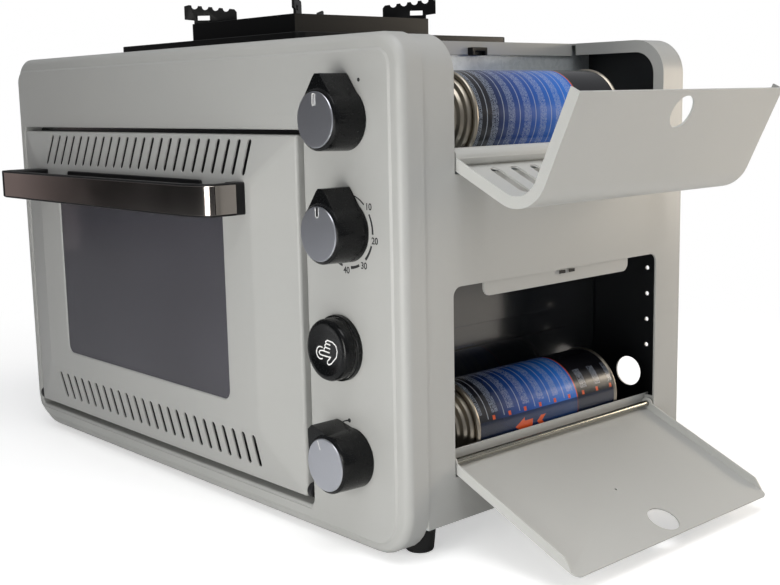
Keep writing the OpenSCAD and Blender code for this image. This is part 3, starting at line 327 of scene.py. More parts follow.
def field_ring(inset, y):
    """A ring of the step up to the raised field, which runs close to the recess at the left and
    below."""
    x0, z0, x1, z1 = panel_outline
    return rounded_ring((x0 - 0.62 * inset, z0 - 0.3 * inset, x1, z1), inset, y, panel_radii)


outer_rings = [rounded_ring(panel_outline, i, y, panel_radii) for i, y in rim_out]
outer_rings += [field_ring(i, y) for i, y in
                ((10.0, 0), (10.3, -0.1), (11.5, -1.05), (11.9, -1.17), (13.2, plateau_y))]
x0, z0, x1, z1 = recess_outline
for over, y in ((11.5, plateau_y), (9.5, -1.0), (6.0, -0.85)):
    outer_rings.append(rounded_ring((x0 - 3.2, z0 - 3.2, x1 + 3.2, z1 + over), 0, y, (16, 5)))
outer_rings += [rounded_ring(recess_outline, i, y, recess_radii)
                for i, y in edge_in + [(0, recess_depth)]]
inner_rings = [rounded_ring(recess_outline, i, y, recess_radii) for i, y in
               ((-steel_t, recess_depth), (-steel_t, 1.6), (-2.6, 0.2), (-4.4, 0))]
inner_rings += [rounded_ring(panel_outline, i, y, panel_radii) for i, y in
                ((5.8, steel_t), (4, 1.6), (steel_t, 4), (steel_t, rim_depth))]
front_sheet = skin("front_panel_sheet", outer_rings + inner_rings, closed=True)
knob_heights = {"stove": 299, "timer": 225, "oven": 68.5}
knob_x, button_x, button_z = 487, 476, 144
knob_hole_r, button_hole_r, bore_len = 4, 9, 12
towards_back = Vector((0, 1, 0))
bored(front_sheet,
      [(at(knob_x, 0, z), towards_back, knob_hole_r, bore_len) for z in knob_heights.values()]
      + [(at(button_x, 0, button_z), towards_back, button_hole_r, bore_len)])
shade(front_sheet, 40)
front_sheet.data.materials.clear()
front_sheet.data.materials.append(silver_paint)
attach(front_sheet, "body")
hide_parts("front_panel")


# Casing and back. The casing is one sheet bent over the top, with lipped openings for the two
# bays, and the back is a flat sheet let into it. Outside they are painted; inside, black is painted
# shade.
def dressed(node, name, body, finish, width_mm=0.4, angle=38, segments=2, stopped=()):
    """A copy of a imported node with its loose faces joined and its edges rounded. It stands for the
    node. finish is a material, or two materials with the test that gives a face the second.
    stopped lists round holes along Y that the copy closes, each as its middle and its radius."""
    mesh = bmesh.new()
    mesh.from_mesh(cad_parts[node].data)
    bmesh.ops.remove_doubles(mesh, verts=mesh.verts, dist=2e-6)
    for middle, radius in stopped:
        wall = [face for face in mesh.faces
                if all((v.co - middle).xz.length < radius / 1000 for v in face.verts)]
        bmesh.ops.delete(mesh, geom=wall, context="FACES")
    if stopped:
        bmesh.ops.edgeloop_fill(mesh, edges=[edge for edge in mesh.edges if edge.is_boundary])
    bmesh.ops.dissolve_limit(mesh, angle_limit=math.radians(0.4), verts=mesh.verts, edges=mesh.edges)
    piece = new_piece(name, mesh)
    if isinstance(finish, tuple):
        first, second, test = finish
        piece.data.materials.append(first)
        piece.data.materials.append(second)
        for face in piece.data.polygons:
            face.material_index = int(test(face))
    else:
        piece.data.materials.append(finish)
    piece.data.polygons.foreach_set("use_smooth", [True] * len(piece.data.polygons))
    piece.data.set_sharp_from_angle(angle=math.radians(angle))
    if width_mm:
        rounded = piece.modifiers.new("rounded edges", "BEVEL")
        rounded.width = width_mm / 1000
        rounded.segments = segments
        rounded.limit_method = "ANGLE"
        rounded.angle_limit = math.radians(angle)
        rounded.harden_normals = True
        rounded.miter_outer = "MITER_ARC"
    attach(piece, body)
    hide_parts(node)
    return piece


bay_side_x, bay_side_reach = 500, 38.5
left_side_x, top_bend_z = 4, 330


def casing_inside(face):
    """True for the casing's inner faces."""
    n = face.normal
    x, z = (face.center.x - panel_left) * 1000, face.center.z * 1000
    inner_right = n.x < -0.5 and 0 < x - bay_side_x < bay_side_reach and z < top_bend_z
    inner_left = n.x > 0.5 and x < left_side_x
    inner_top = n.z < -0.3 and z > top_bend_z
    return inner_right or inner_left or inner_top


# The casing's inner faces take the black painted shade, and the rest the silver paint.
dressed("outer_casing", "outer_casing_sheet", "body",
        (silver_paint, inner_painted_shade, casing_inside), 0.5)
# Eight of the back's holes are shut in the copy, and its inward faces take the painted shade.
shut_holes = [(at(x, 0, z), 2.2) for x in (502, 516) for z in (104, 125.6, 147.2, 168.8)]
dressed("back_panel", "back_panel_sheet", "body",
        (silver_paint, inner_painted_shade, lambda face: face.normal.y < -0.5), 0.5, stopped=shut_holes)


# Base, shelf and cradle. Galvanised sheet, left bare, that carries the oven and the cartridges.
# Hot dipping leaves it bluish and bright, with spangles a few millimetres across.
def galvanised(name, spangle_mm):
    """Zinc-dipped sheet: flat crystals a few millimetres across, each with its own tone and gloss."""
    made, tree, shader, place = new_finish(name)
    spangle = add(tree, "ShaderNodeTexVoronoi", inputs={"Vector": place, "Scale": 1000 / spangle_mm})
    grey = add(tree, "ShaderNodeSeparateColor", inputs={0: spangle.outputs["Color"]})
    tone = add(tree, "ShaderNodeMix", {"data_type": "RGBA"},
               {0: grey.outputs[0], 6: linear("#d3dadc"), 7: linear("#e0e6e8")})
    rough = add(tree, "ShaderNodeMapRange", inputs={0: grey.outputs[1], 3: 0.34, 4: 0.42})
    fed(shader, {"Base Color": tone.outputs[2], "Roughness": rough.outputs[0], "Metallic": 0.4})
    return made


zinc = galvanised("galvanised sheet", 3)
dressed("base_plate", "base_plate_sheet", "body", zinc, 0.3)
dressed("bay_shelf", "bay_shelf_sheet", "body", zinc, 0.4)
dressed("lower_cradle", "lower_cradle_sheet", "body", zinc, 0.3)
dressed("stove_burner", "stove_burner_body", "body", zinc, 0.4)
dressed("upper_regulator", "upper_regulator_body", "body", zinc, 0.8)
dressed("lower_regulator", "lower_regulator_body", "body", zinc, 0.8)


# Divider. The dark enamelled wall between the oven and the cartridges, pressed with long raised
# fields to stiffen it. Its upper part is a bright galvanised shield behind the upper cartridge.
shelf_z = 254.6
divider_enamel = baked_enamel("divider enamel", "#1f2225", 0.20, "#2a2d31", 4.0, 0.9)
dressed("bay_divider", "bay_divider_wall", "body",
        (divider_enamel, zinc, lambda face: face.center.z * 1000 > shelf_z), 1.4, 30, 3)


# Feet. Four moulded rubber feet, screwed under the base, matt black with a fine grain.
def moulded(name, colour, roughness, grain_mm, depth=0.00004, coat=0.0, shine=0.5):
    """Moulded plastic or rubber: one colour all through, with the mould's fine grain as tiny bumps."""
    made, tree, shader, place = new_finish(name)
    grain = add(tree, "ShaderNodeTexNoise",
                inputs={"Vector": place, "Scale": 1000 / grain_mm, "Detail": 3.0})
    base = linear(colour)
    lighter = tuple(min(1, c * 1.35 + 0.002) for c in base[:3]) + (1,)
    tone = add(tree, "ShaderNodeMix", {"data_type": "RGBA"},
               {0: grain.outputs["Fac"], 6: base, 7: lighter})
    rough = add(tree, "ShaderNodeMapRange",
                inputs={0: grain.outputs["Fac"], 3: roughness - 0.06, 4: roughness + 0.06})
    bump = add(tree, "ShaderNodeBump",
               inputs={"Height": grain.outputs["Fac"], "Strength": 0.3, "Distance": depth})
    fed(shader, {"Base Color": tone.outputs[2], "Roughness": rough.outputs[0],
                 "Normal": bump.outputs[0], "Coat Weight": coat, "Coat Roughness": 0.08,
                 "Specular IOR Level": shine})
    return made


rubber = moulded("moulded rubber", "#101011", 0.7, 0.7)
for corner in ("front_left", "front_right", "back_left", "back_right"):
    dressed("foot_" + corner, "rubber_foot_" + corner, "body", rubber, 0.8)


# Oven cavity. A deep-drawn box of black vitreous enamel with rails for the rack, and a folded
# spreader over the burner. The enamel is glassy, with a faint ripple.
vitreous = baked_enamel("black vitreous enamel", "#131416", 0.24, "#1a1b1e", 3.0, 0.3)
dressed("oven_liner", "oven_liner_box", "body", vitreous, 0.8, 38, 2)
dressed("burner_deflector", "burner_spreader", "body", vitreous, 0.3)


# Rack. Chromed steel wire: a bent frame with a row of thinner wires welded across it. It lies on
# the cavity's rails and slides out over the open door.
def bright_steel(name, colour, roughness, draw_mm):
    """Drawn or turned steel: fine scratches along the draw, here as a stretched noise."""
    made, tree, shader, place = new_finish(name)
    draw = add(tree, "ShaderNodeMapping", inputs={"Vector": place, "Scale": (1, 0.05, 1)})
    lines = add(tree, "ShaderNodeTexNoise",
                inputs={"Vector": draw.outputs[0], "Scale": 1000 / draw_mm, "Detail": 2.0})
    tone = add(tree, "ShaderNodeMix", {"data_type": "RGBA"},
               {0: lines.outputs["Fac"], 6: linear(colour), 7: linear("#c8cacc")})
    rough = add(tree, "ShaderNodeMapRange",
                inputs={0: lines.outputs["Fac"], 3: roughness - 0.05, 4: roughness + 0.08})
    fed(shader, {"Base Color": tone.outputs[2], "Roughness": rough.outputs[0], "Metallic": 1.0})
    return made


wire = bright_steel("bright drawn wire", "#9fa2a5", 0.22, 0.6)
rack_low, rack_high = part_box("wire_rack")


def size_inputs(tree, sizes):
    """Named sizes on a geometry tree, each with its kind of socket and its value."""
    for name, kind, value in sizes:
        made = tree.interface.new_socket(name, in_out="INPUT", socket_type="NodeSocket" + kind)
        made.default_value = value


def rack_tree(finish):
    """Wires at a pitch across a bent frame. Each wire is a line given a round section."""
    tree = bpy.data.node_groups.new("rack_wires", "GeometryNodeTree")
    tree.interface.new_socket("Geometry", in_out="OUTPUT", socket_type="NodeSocketGeometry")
    size_inputs(tree, (("Width", "Float", 0.3), ("Depth", "Float", 0.2), ("Wires", "Int", 16),
                       ("Pitch", "Float", 0.02), ("Wire radius", "Float", 0.0012),
                       ("Frame radius", "Float", 0.002)))
    size = add(tree, "NodeGroupInput").outputs
    frame_line = add(tree, "GeometryNodeCurvePrimitiveQuadrilateral",
                     inputs={"Width": size["Width"], "Height": size["Depth"]})
    bent = add(tree, "GeometryNodeFilletCurve", {"mode": "POLY"},
               {"Curve": frame_line.outputs[0], "Count": 5, "Radius": 0.006})
    frame_round = add(tree, "GeometryNodeCurvePrimitiveCircle",
                      inputs={"Resolution": 14, "Radius": size["Frame radius"]})
    frame_wire = add(tree, "GeometryNodeCurveToMesh",
                     inputs={0: bent.outputs[0], 1: frame_round.outputs[0]})
    one_less = add(tree, "ShaderNodeMath", {"operation": "SUBTRACT"}, {0: size["Wires"], 1: 1.0})
    span = add(tree, "ShaderNodeMath", {"operation": "MULTIPLY"},
               {0: one_less.outputs[0], 1: size["Pitch"]})
    half = add(tree, "ShaderNodeMath", {"operation": "MULTIPLY"}, {0: span.outputs[0], 1: -0.5})
    raise_by = add(tree, "ShaderNodeMath", {"operation": "MULTIPLY"},
                   {0: size["Frame radius"], 1: 0.6})
    start = add(tree, "ShaderNodeCombineXYZ", inputs={0: half.outputs[0], 2: raise_by.outputs[0]})
    step = add(tree, "ShaderNodeCombineXYZ", inputs={0: size["Pitch"]})
    row = add(tree, "GeometryNodeMeshLine", {"mode": "OFFSET"},
              {"Count": size["Wires"], "Start Location": start.outputs[0], "Offset": step.outputs[0]})
    ends = []
    for share in (-0.5, 0.5):
        half_depth = add(tree, "ShaderNodeMath", {"operation": "MULTIPLY"},
                         {0: size["Depth"], 1: share})
        ends.append(add(tree, "ShaderNodeCombineXYZ", inputs={1: half_depth.outputs[0]}).outputs[0])
    line = add(tree, "GeometryNodeCurvePrimitiveLine", inputs={"Start": ends[0], "End": ends[1]})
    section = add(tree, "GeometryNodeCurvePrimitiveCircle",
                  inputs={"Resolution": 10, "Radius": size["Wire radius"]})
    thin = add(tree, "GeometryNodeCurveToMesh", inputs={0: line.outputs[0], 1: section.outputs[0]})
    thin.inputs["Fill Caps"].default_value = True
    wires = add(tree, "GeometryNodeInstanceOnPoints",
                inputs={"Points": row.outputs[0], "Instance": thin.outputs[0]})
    both = add(tree, "GeometryNodeJoinGeometry")
    for part in (frame_wire, wires):
        tree.links.new(part.outputs[0], both.inputs[0])
    smooth = add(tree, "GeometryNodeSetShadeSmooth", inputs={0: both.outputs[0]})
    real = add(tree, "GeometryNodeRealizeInstances", inputs={0: smooth.outputs[0]})
    painted = add(tree, "GeometryNodeSetMaterial", inputs={0: real.outputs[0], "Material": finish})
    out = add(tree, "NodeGroupOutput")
    tree.links.new(painted.outputs[0], out.inputs[0])
    return tree


def grown(name, tree, values, place):
    """A piece grown by a geometry tree with named sizes, and moved to its place."""
    seed = bpy.data.meshes.new(name)
    piece = bpy.data.objects.new(name, seed)
    bpy.context.scene.collection.objects.link(piece)
    grow = piece.modifiers.new("made by rule", "NODES")
    grow.node_group = tree
    for item in tree.interface.items_tree:
        if item.in_out == "INPUT" and item.name in values:
            grow[item.identifier] = values[item.name]
    plain_mesh(piece)
    piece.data.transform(place)
    return piece


rack_frame_r, rack_z = 2.0, 150
rack = grown("rack_of_wire", rack_tree(wire), {
    "Width": rack_high.x - rack_low.x - 2 * rack_frame_r / 1000,
    "Depth": rack_high.y - rack_low.y - 2 * rack_frame_r / 1000,
    "Wires": 18, "Pitch": 0.020, "Wire radius": 0.0012, "Frame radius": rack_frame_r / 1000,
}, Matrix.Translation(((rack_low.x + rack_high.x) / 2, (rack_low.y + rack_high.y) / 2, rack_z / 1000)))
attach(rack, "rack")
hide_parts("wire_rack")


# Door. A pan pressed from one sheet: its face slopes out from the rim to a flat middle, with the
# window cut in it and a row of vent slots punched through the slope at the top and the bottom.
door_outline = (15, 27, 434, 287.8)
flat_outline = (58, 70, 391, 255)
window_outline = (95, 87, 354, 238)
door_edge_y, door_flat_y, door_rim_y = -2.0, -12.0, 13.0
door_t = 1.0


def slope_ring(t, lift=0.0, grow=0.0):
    """The ring at a share t of the way up the slope, raised by lift off it."""
    outline = [d + (f - d) * t for d, f in zip(door_outline, flat_outline)]
    y = door_edge_y + (door_flat_y - door_edge_y) * t + lift
    return rounded_ring(outline, grow, y, (3 + 3 * t, 3 + 3 * t))


def door_ring(outline, inset, y, r=2.6):
    return rounded_ring(outline, inset, y, (r, r))


door_skin = [door_ring(door_outline, 0, door_rim_y), door_ring(door_outline, 0, 0.4),
             door_ring(door_outline, 0.25, -0.8), door_ring(door_outline, 0.9, -1.7)]
door_skin += [slope_ring(t, bend) for t, bend in
              ((0.05, 0.02), (0.5, 0), (0.93, 0), (0.97, 0.06), (0.99, 0.12))]
door_skin += [door_ring(flat_outline, 1.2, -11.97, 7), door_ring(flat_outline, 3.0, -12, 8)]
door_skin += [door_ring(window_outline, i, y, 8) for i, y in
              [(-2.2, -12)] + arc_profile(-1.4, -10.6, 1.4, 270, 360, 4)]
door_skin += [door_ring(window_outline, i, y, 8) for i, y in ((-1.2, -10.6), (-2.6, -11.0))]
door_skin += [door_ring(flat_outline, 3.0, -11.0, 8)]
door_skin += [slope_ring(t, door_t, 0.3) for t in (0.97, 0.5, 0.05)]
door_skin += [door_ring(door_outline, 1.0, 0.4), door_ring(door_outline, 1.0, door_rim_y)]


def slot_row_tree(finish):
    """Round-ended slots punched through a sheet in two rows at a pitch."""
    tree = bpy.data.node_groups.new("vent_slots", "GeometryNodeTree")
    tree.interface.new_socket("Geometry", in_out="INPUT", socket_type="NodeSocketGeometry")
    tree.interface.new_socket("Geometry", in_out="OUTPUT", socket_type="NodeSocketGeometry")
    size_inputs(tree, (("Slots", "Int", 24), ("Pitch", "Float", 0.0134),
                       ("Slot width", "Float", 0.0048), ("Slot length", "Float", 0.026),
                       ("First top slot", "Vector", (0, 0, 0)),
                       ("First bottom slot", "Vector", (0, 0, 0))))
    size = add(tree, "NodeGroupInput").outputs
    step = add(tree, "ShaderNodeCombineXYZ", inputs={0: size["Pitch"]})
    rows = add(tree, "GeometryNodeJoinGeometry")
    for first in ("First top slot", "First bottom slot"):
        row = add(tree, "GeometryNodeMeshLine", {"mode": "OFFSET"},
                  {"Count": size["Slots"], "Start Location": size[first], "Offset": step.outputs[0]})
        tree.links.new(row.outputs[0], rows.inputs[0])
    outline = add(tree, "GeometryNodeCurvePrimitiveQuadrilateral",
                  inputs={"Width": size["Slot width"], "Height": size["Slot length"]})
    end_r = add(tree, "ShaderNodeMath", {"operation": "MULTIPLY"}, {0: size["Slot width"], 1: 0.499})
    rounded = add(tree, "GeometryNodeFilletCurve", {"mode": "POLY"},
                  {"Curve": outline.outputs[0], "Count": 5, "Radius": end_r.outputs[0]})
    flat = add(tree, "GeometryNodeFillCurve", {"mode": "NGONS"}, {0: rounded.outputs[0]})
    punch = add(tree, "GeometryNodeExtrudeMesh", {"mode": "FACES"},
                {0: flat.outputs[0], "Offset": (0, 0, 1), "Offset Scale": 0.022, "Individual": False})
    under = add(tree, "GeometryNodeFlipFaces", inputs={0: flat.outputs[0]})
    closed = add(tree, "GeometryNodeJoinGeometry")
    for part in (punch, under):
        tree.links.new(part.outputs[0], closed.inputs[0])
    solid = add(tree, "GeometryNodeMergeByDistance", inputs={0: closed.outputs[0], "Distance": 1e-6})
    upright = add(tree, "GeometryNodeTransform",
                  inputs={0: solid.outputs[0], "Translation": (0, 0.011, 0),
                          "Rotation": (math.radians(90), 0, 0)})
    punches = add(tree, "GeometryNodeInstanceOnPoints",
                  inputs={"Points": rows.outputs[0], "Instance": upright.outputs[0]})
    real = add(tree, "GeometryNodeRealizeInstances", inputs={0: punches.outputs[0]})
    cut = add(tree, "GeometryNodeMeshBoolean", {"operation": "DIFFERENCE", "solver": "EXACT"},
              {0: size["Geometry"]})
    tree.links.new(real.outputs[0], cut.inputs[1])
    sheet = add(tree, "GeometryNodeRealizeInstances", inputs={0: cut.outputs[0]})
    painted = add(tree, "GeometryNodeSetMaterial", inputs={0: sheet.outputs[0], "Material": finish})
    out = add(tree, "NodeGroupOutput")
    tree.links.new(painted.outputs[0], out.inputs[0])
    return tree


door_sheet = skin("door_face_sheet", door_skin, closed=True)
vents = door_sheet.modifiers.new("vents", "NODES")
vents.node_group = slot_row_tree(silver_paint)
vent_pitch, vent_count, vents_mid_x = 13.4, 24, 227.0
vents_y, top_vents_z, bottom_vents_z = -5, 271.5, 52
first_vent_x = vents_mid_x - vent_pitch * (vent_count - 1) / 2
for item in vents.node_group.interface.items_tree:
    if item.in_out == "INPUT" and item.name.startswith("First"):
        vents_z = top_vents_z if "top" in item.name else bottom_vents_z
        vents[item.identifier] = at(first_vent_x, vents_y, vents_z)
plain_mesh(door_sheet)
shade(door_sheet, 30)
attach(door_sheet, "oven_door")
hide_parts("door_panel")

dressed("door_liner", "door_inner_pan", "oven_door", vitreous, 0.4)
hinge_black = moulded("black hinge lacquer", "#131315", 0.45, 0.6)
for side in ("left", "right"):
    dressed("hinge_bracket_" + side, "hinge_bracket_plate_" + side, "body",
            hinge_black, 0.6)
turned_steel = bright_steel("turned steel", "#a4a6a8", 0.3, 0.5)
for node, body in (("door_pins", "oven_door"), ("stove_shaft", "stove_control"),
                   ("timer_shaft", "timer_control"), ("oven_shaft", "oven_control"),
                   ("upper_lid_pin", "lid"), ("stove_pipe", "body"), ("oven_pipe", "body"),
                   ("oven_burner", "body")):
    dressed(node, node + "_steel", body, turned_steel, 0)


# Window. A pane of grey-tinted toughened glass, clamped between the face and the inner pan.
tinted_glass, glass_tree, pane_shader, pane_place = new_finish("grey tinted glass")
haze = add(glass_tree, "ShaderNodeTexNoise",
           inputs={"Vector": pane_place, "Scale": 7.0, "Detail": 2.0})
film = add(glass_tree, "ShaderNodeMix", {"data_type": "RGBA"},
           {0: haze.outputs["Fac"], 6: linear("#47464c"), 7: linear("#5f5e66")})
smear = add(glass_tree, "ShaderNodeMapRange", inputs={0: haze.outputs["Fac"], 3: 0.03, 4: 0.09})
fed(pane_shader, {"Base Color": film.outputs[2], "Roughness": smear.outputs[0], "Alpha": 0.74})
dressed("door_glass", "window_pane", "oven_door", tinted_glass, 0.3)


# Handle. A dark-chromed steel band lies in a black moulded channel that shows as a thin rim over
# and under it. The channel is bent back to the door on two legs, the left bend tight, the right
# one wide, and the band stops short of the right leg's end.
def mirror_plate(name, colour, roughness, swell_mm=0.3):
    """Polished plating: it mirrors the room, with a faint unevenness along the part."""
    made, tree, shader, place = new_finish(name)
    swell = add(tree, "ShaderNodeTexNoise", inputs={"Vector": place, "Scale": 18.0, "Detail": 2.0})
    rough = add(tree, "ShaderNodeMapRange",
                inputs={0: swell.outputs["Fac"], 3: roughness * 0.6, 4: roughness * 1.4})
    bump = add(tree, "ShaderNodeBump",
               inputs={"Height": swell.outputs["Fac"], "Strength": 0.2, "Distance": swell_mm / 1000})
    fed(shader, {"Base Color": linear(colour), "Roughness": rough.outputs[0],
                 "Normal": bump.outputs[0], "Metallic": 1.0})
    return made


dark_chrome = mirror_plate("dark chrome plate", "#aaa39e", 0.15)
grip_black = moulded("matt black moulding", "#08080a", 0.42, 0.5, shine=0.3)
handle_out, band_h, band_t, rim_h = 50.0, 21.0, 1.2, 1.3
handle_x0, handle_x1, handle_mid_z = 55.0, 385.0, 242.5
left_bend_r, right_bend_wide, right_bend_deep = 14.0, 34.0, 13.0
band_end_y, leg_end_y = -19.8, -11.3


def handle_line(inset, steps=20):
    """The handle's line in plan, drawn in by an inset: up the left leg, round both bends, and down
    the right leg to the band's end."""
    left_r, wide, deep = left_bend_r - inset, right_bend_wide - inset, right_bend_deep - inset
    left_x, left_y = handle_x0 + left_bend_r, -handle_out + left_bend_r
    right_x, right_y = handle_x1 - right_bend_wide, -handle_out + right_bend_deep
    turns = [math.pi / 2 * k / steps for k in range(steps + 1)]
    line = [(handle_x0 + inset, leg_end_y)]
    line += [(left_x - left_r * math.cos(a), left_y - left_r * math.sin(a)) for a in turns]
    line += [(right_x + wide * math.sin(a), right_y - deep * math.cos(a)) for a in turns]
    return line + [(handle_x1 - inset, band_end_y)]


def along_handle(name, section):
    """A piece with one section all along the handle, from pairs of inset and height."""
    lines = {inset: handle_line(inset) for inset, dz in section}
    rings = [[at(*lines[inset][k], handle_mid_z + dz) for inset, dz in section]
             for k in range(len(handle_line(0)))]
    return skin(name, rings, ends=True)


half_band = band_h / 2
half_grip = half_band + rim_h
band = along_handle("chrome_band", [
    (0.25, -half_band), (0, -half_band + 0.25), (0, half_band - 0.25), (0.25, half_band),
    (band_t, half_band), (band_t, -half_band),
])
shade(band, 30)
band.data.materials.append(dark_chrome)
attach(band, "oven_door")
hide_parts("handle_band")

channel_t, lip_y, groove_y = 5.0, 0.15, 0.95
groove_half = half_band + 0.03
channel = along_handle("moulded_grip", [
    (0.6, -half_grip), (lip_y, -half_grip + 0.5), (lip_y, -groove_half), (groove_y, -groove_half),
    (groove_y, groove_half), (lip_y, groove_half), (lip_y, half_grip - 0.5), (0.6, half_grip),
    (channel_t, half_grip), (channel_t, -half_grip),
])
legs = bmesh.new()
legs.from_mesh(channel.data)
for x0, x1, front_y in ((handle_x0 + 1.5, handle_x0 + 21.5, -handle_out + 3),
                        (handle_x1 - 14, handle_x1 - 0.15, band_end_y - 0.2)):
    outline = (x0, handle_mid_z - half_grip, x1, handle_mid_z + half_grip)
    skinned(legs, [rounded_ring(outline, i, y, (1.5, 1.5), 4) for i, y in
                   ((0.3, front_y), (0, front_y + 0.3), (0, leg_end_y))], ends=True)
legs.to_mesh(channel.data)
legs.free()
shade(channel, 30)
channel.data.materials.append(grip_black)
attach(channel, "oven_door")
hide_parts("handle_grip")
# A black strip on the door by the handle, in the grip's black moulding.
dressed("handle_guard", "black_strip_by_handle", "oven_door", grip_black, 0.8, 35, 3)


# Controls. Three knobs of glossy black phenolic with a raised pointer, each capped by a brushed
# aluminium disc with its index line, and a large dished safety button in a ring.
gloss_black = moulded("glossy black phenolic", "#040506", 0.26, 1.2, 0.00001, 0.1, 0.22)


def spun_disc(name, height):
    """Aluminium disc, brushed while it spins: fine rings round its middle that stretch the light
    into a bow. The rings are drawn 0.25 mm apart so that they show."""
    made, tree, shader, place = new_finish(name)
    middle = at(knob_x, 0, height)
    centred = add(tree, "ShaderNodeMapping",
                  inputs={"Vector": place, "Location": (-middle.x, 0, -middle.z), "Scale": (1, 0, 1)})
    radius = add(tree, "ShaderNodeVectorMath", {"operation": "LENGTH"}, {0: centred.outputs[0]})
    rings = add(tree, "ShaderNodeTexNoise", {"noise_dimensions": "1D"},
                {"W": radius.outputs["Value"], "Scale": 4000.0, "Detail": 2.0})
    tone = add(tree, "ShaderNodeMix", {"data_type": "RGBA"},
               {0: rings.outputs["Fac"], 6: linear("#b9bcc4"), 7: linear("#cfd1d8")})
    bump = add(tree, "ShaderNodeBump",
               inputs={"Height": rings.outputs["Fac"], "Strength": 0.35, "Distance": 0.00003})
    fed(shader, {"Base Color": tone.outputs[2], "Roughness": 0.36, "Normal": bump.outputs[0],
                 "Metallic": 1.0})
    return made


def turned(name, profile, mid_x, mid_z, segments=80):
    """A piece turned about an axis along Y, from pairs of radius and depth."""
    rings = [[at(mid_x + r * math.cos(a), y, mid_z + r * math.sin(a))
              for a in (math.tau * k / segments for k in range(segments))] for r, y in profile]
    return skin(name, rings, ends=True)


for name, height in knob_heights.items():
    control = name + "_control"
    dressed(name + "_knob", name + "_knob_moulding", control, gloss_black, 1.0, 35, 3)
    low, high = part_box(name + "_disc")
    disc_r, face_y = (high.x - low.x) * 500, (low.y - panel_face) * 1000
    disc_face = [(0.05, face_y), (disc_r - 0.7, face_y), (disc_r - 0.2, face_y + 0.2),
                 (disc_r, face_y + 0.6), (disc_r, face_y + 1), (0.05, face_y + 1)]
    disc = turned(name + "_knob_disc", disc_face, knob_x, height, 96)
    disc.data.materials.append(spun_disc(name + " spun aluminium", height))
    shade(disc, 30)
    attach(disc, control)
    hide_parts(name + "_disc")
dressed("safety_button", "safety_button_cap", "button", gloss_black, 0)
dressed("button_bezel", "button_ring", "body", gloss_black, 0.6)


# Printing. Screen-printed black ink on the panel: the timer's numbers with arcs between them,
# and the marks where the two gas knobs are shut. The button carries a white outline.
def ink(name, colour):
    """Screen-printing ink: thin, matt, and a little uneven where the screen was pressed."""
    return moulded(name, colour, 0.55, 0.8, 0.00001)


black_ink, white_ink = ink("black printing ink", "#1b1c1e"), ink("white printing ink", "#e4e4e2")
print_y, print_t, ink_spread = plateau_y - 0.02, 0.06, 0.12


def printed(name, outlines, depth_at, finish, body):
    """Flat ink from outlines in x and z, as a film that lies at the depth that depth_at gives."""
    mesh = bmesh.new()
    for outline in outlines:
        front_row = [mesh.verts.new(at(x, depth_at(x, z) - print_t, z)) for x, z in outline]
        back_row = [mesh.verts.new(at(x, depth_at(x, z), z)) for x, z in outline]
        mesh.faces.new(front_row)
        mesh.faces.new(back_row[::-1])
        for i in range(len(outline)):
            j = (i + 1) % len(outline)
            mesh.faces.new((front_row[j], front_row[i], back_row[i], back_row[j]))
    bmesh.ops.recalc_face_normals(mesh, faces=mesh.faces)
    film = new_piece(name, mesh)
    film.data.materials.append(finish)
    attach(film, body)
    return film


def arc_mark(mid, radius, first, last, wide_first, wide_last, steps=10):
    """A printed arc whose width changes along it. Angles are clockwise from the top, in degrees."""
    outer, inner = [], []
    for k in range(steps + 1):
        share = k / steps
        a = math.radians(first + (last - first) * share)
        half = (wide_first + (wide_last - wide_first) * share) / 2
        for r, row in ((radius + half, outer), (radius - half, inner)):
            row.append((mid[0] + r * math.sin(a), mid[1] + r * math.cos(a)))
    return outer + inner[::-1]


def dot_mark(mid, radius):
    return [(mid[0] + radius * math.cos(a), mid[1] + radius * math.sin(a))
            for a in (math.tau * k / 20 for k in range(20))]


def number_mark(name, text, x, z, height):
    """A printed number, its middle at x and z."""
    curve = bpy.data.curves.new(name, "FONT")
    curve.body = text
    curve.size = height * 1.38 / 1000
    curve.align_x, curve.align_y = "CENTER", "CENTER"
    curve.extrude = print_t / 2000
    curve.offset = ink_spread / 1000
    flat = bpy.data.objects.new(name + "_text", curve)
    bpy.context.scene.collection.objects.link(flat)
    made = bpy.data.objects.new(
        name, bpy.data.meshes.new_from_object(flat.evaluated_get(bpy.context.evaluated_depsgraph_get()))
    )
    bpy.data.objects.remove(flat)
    bpy.context.scene.collection.objects.link(made)
    made.data.transform(Matrix.Translation(at(x, print_y - print_t / 2, z))
                        @ Matrix.Rotation(math.radians(90), 4, "X"))
    made.data.materials.clear()
    made.data.materials.append(black_ink)
    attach(made, "body")
    return made


timer_mid = (knob_x, knob_heights["timer"])
numbers_r, number_h, arcs_r = 27.0, 4.6, 24.6
for text, angle in (("10", 51), ("20", 101), ("30", 146), ("40", 186)):
    a = math.radians(angle)
    number_mark("timer_number_" + text, text, timer_mid[0] + numbers_r * math.sin(a),
                timer_mid[1] + numbers_r * math.cos(a), number_h)
arcs = [arc_mark(timer_mid, arcs_r, first, last, w0, w1) for first, last, w0, w1 in
        ((14, 42, 0.7, 1.2), (60, 92, 1.3, 1.7), (110, 137, 1.5, 1.9), (155, 176, 1.7, 2.1),
         (196, 222, 1.8, 2.2))]
printed("timer_dial_arcs", arcs, lambda x, z: print_y, black_ink, "body")
gas_marks = [dot_mark((483, 93.8), 1.5),
             arc_mark((knob_x, knob_heights["oven"]), 25.6, -34, -10, 0.5, 1.2),
             dot_mark((501, 324), 1.3)]
printed("gas_shut_marks", gas_marks, lambda x, z: print_y, black_ink, "body")


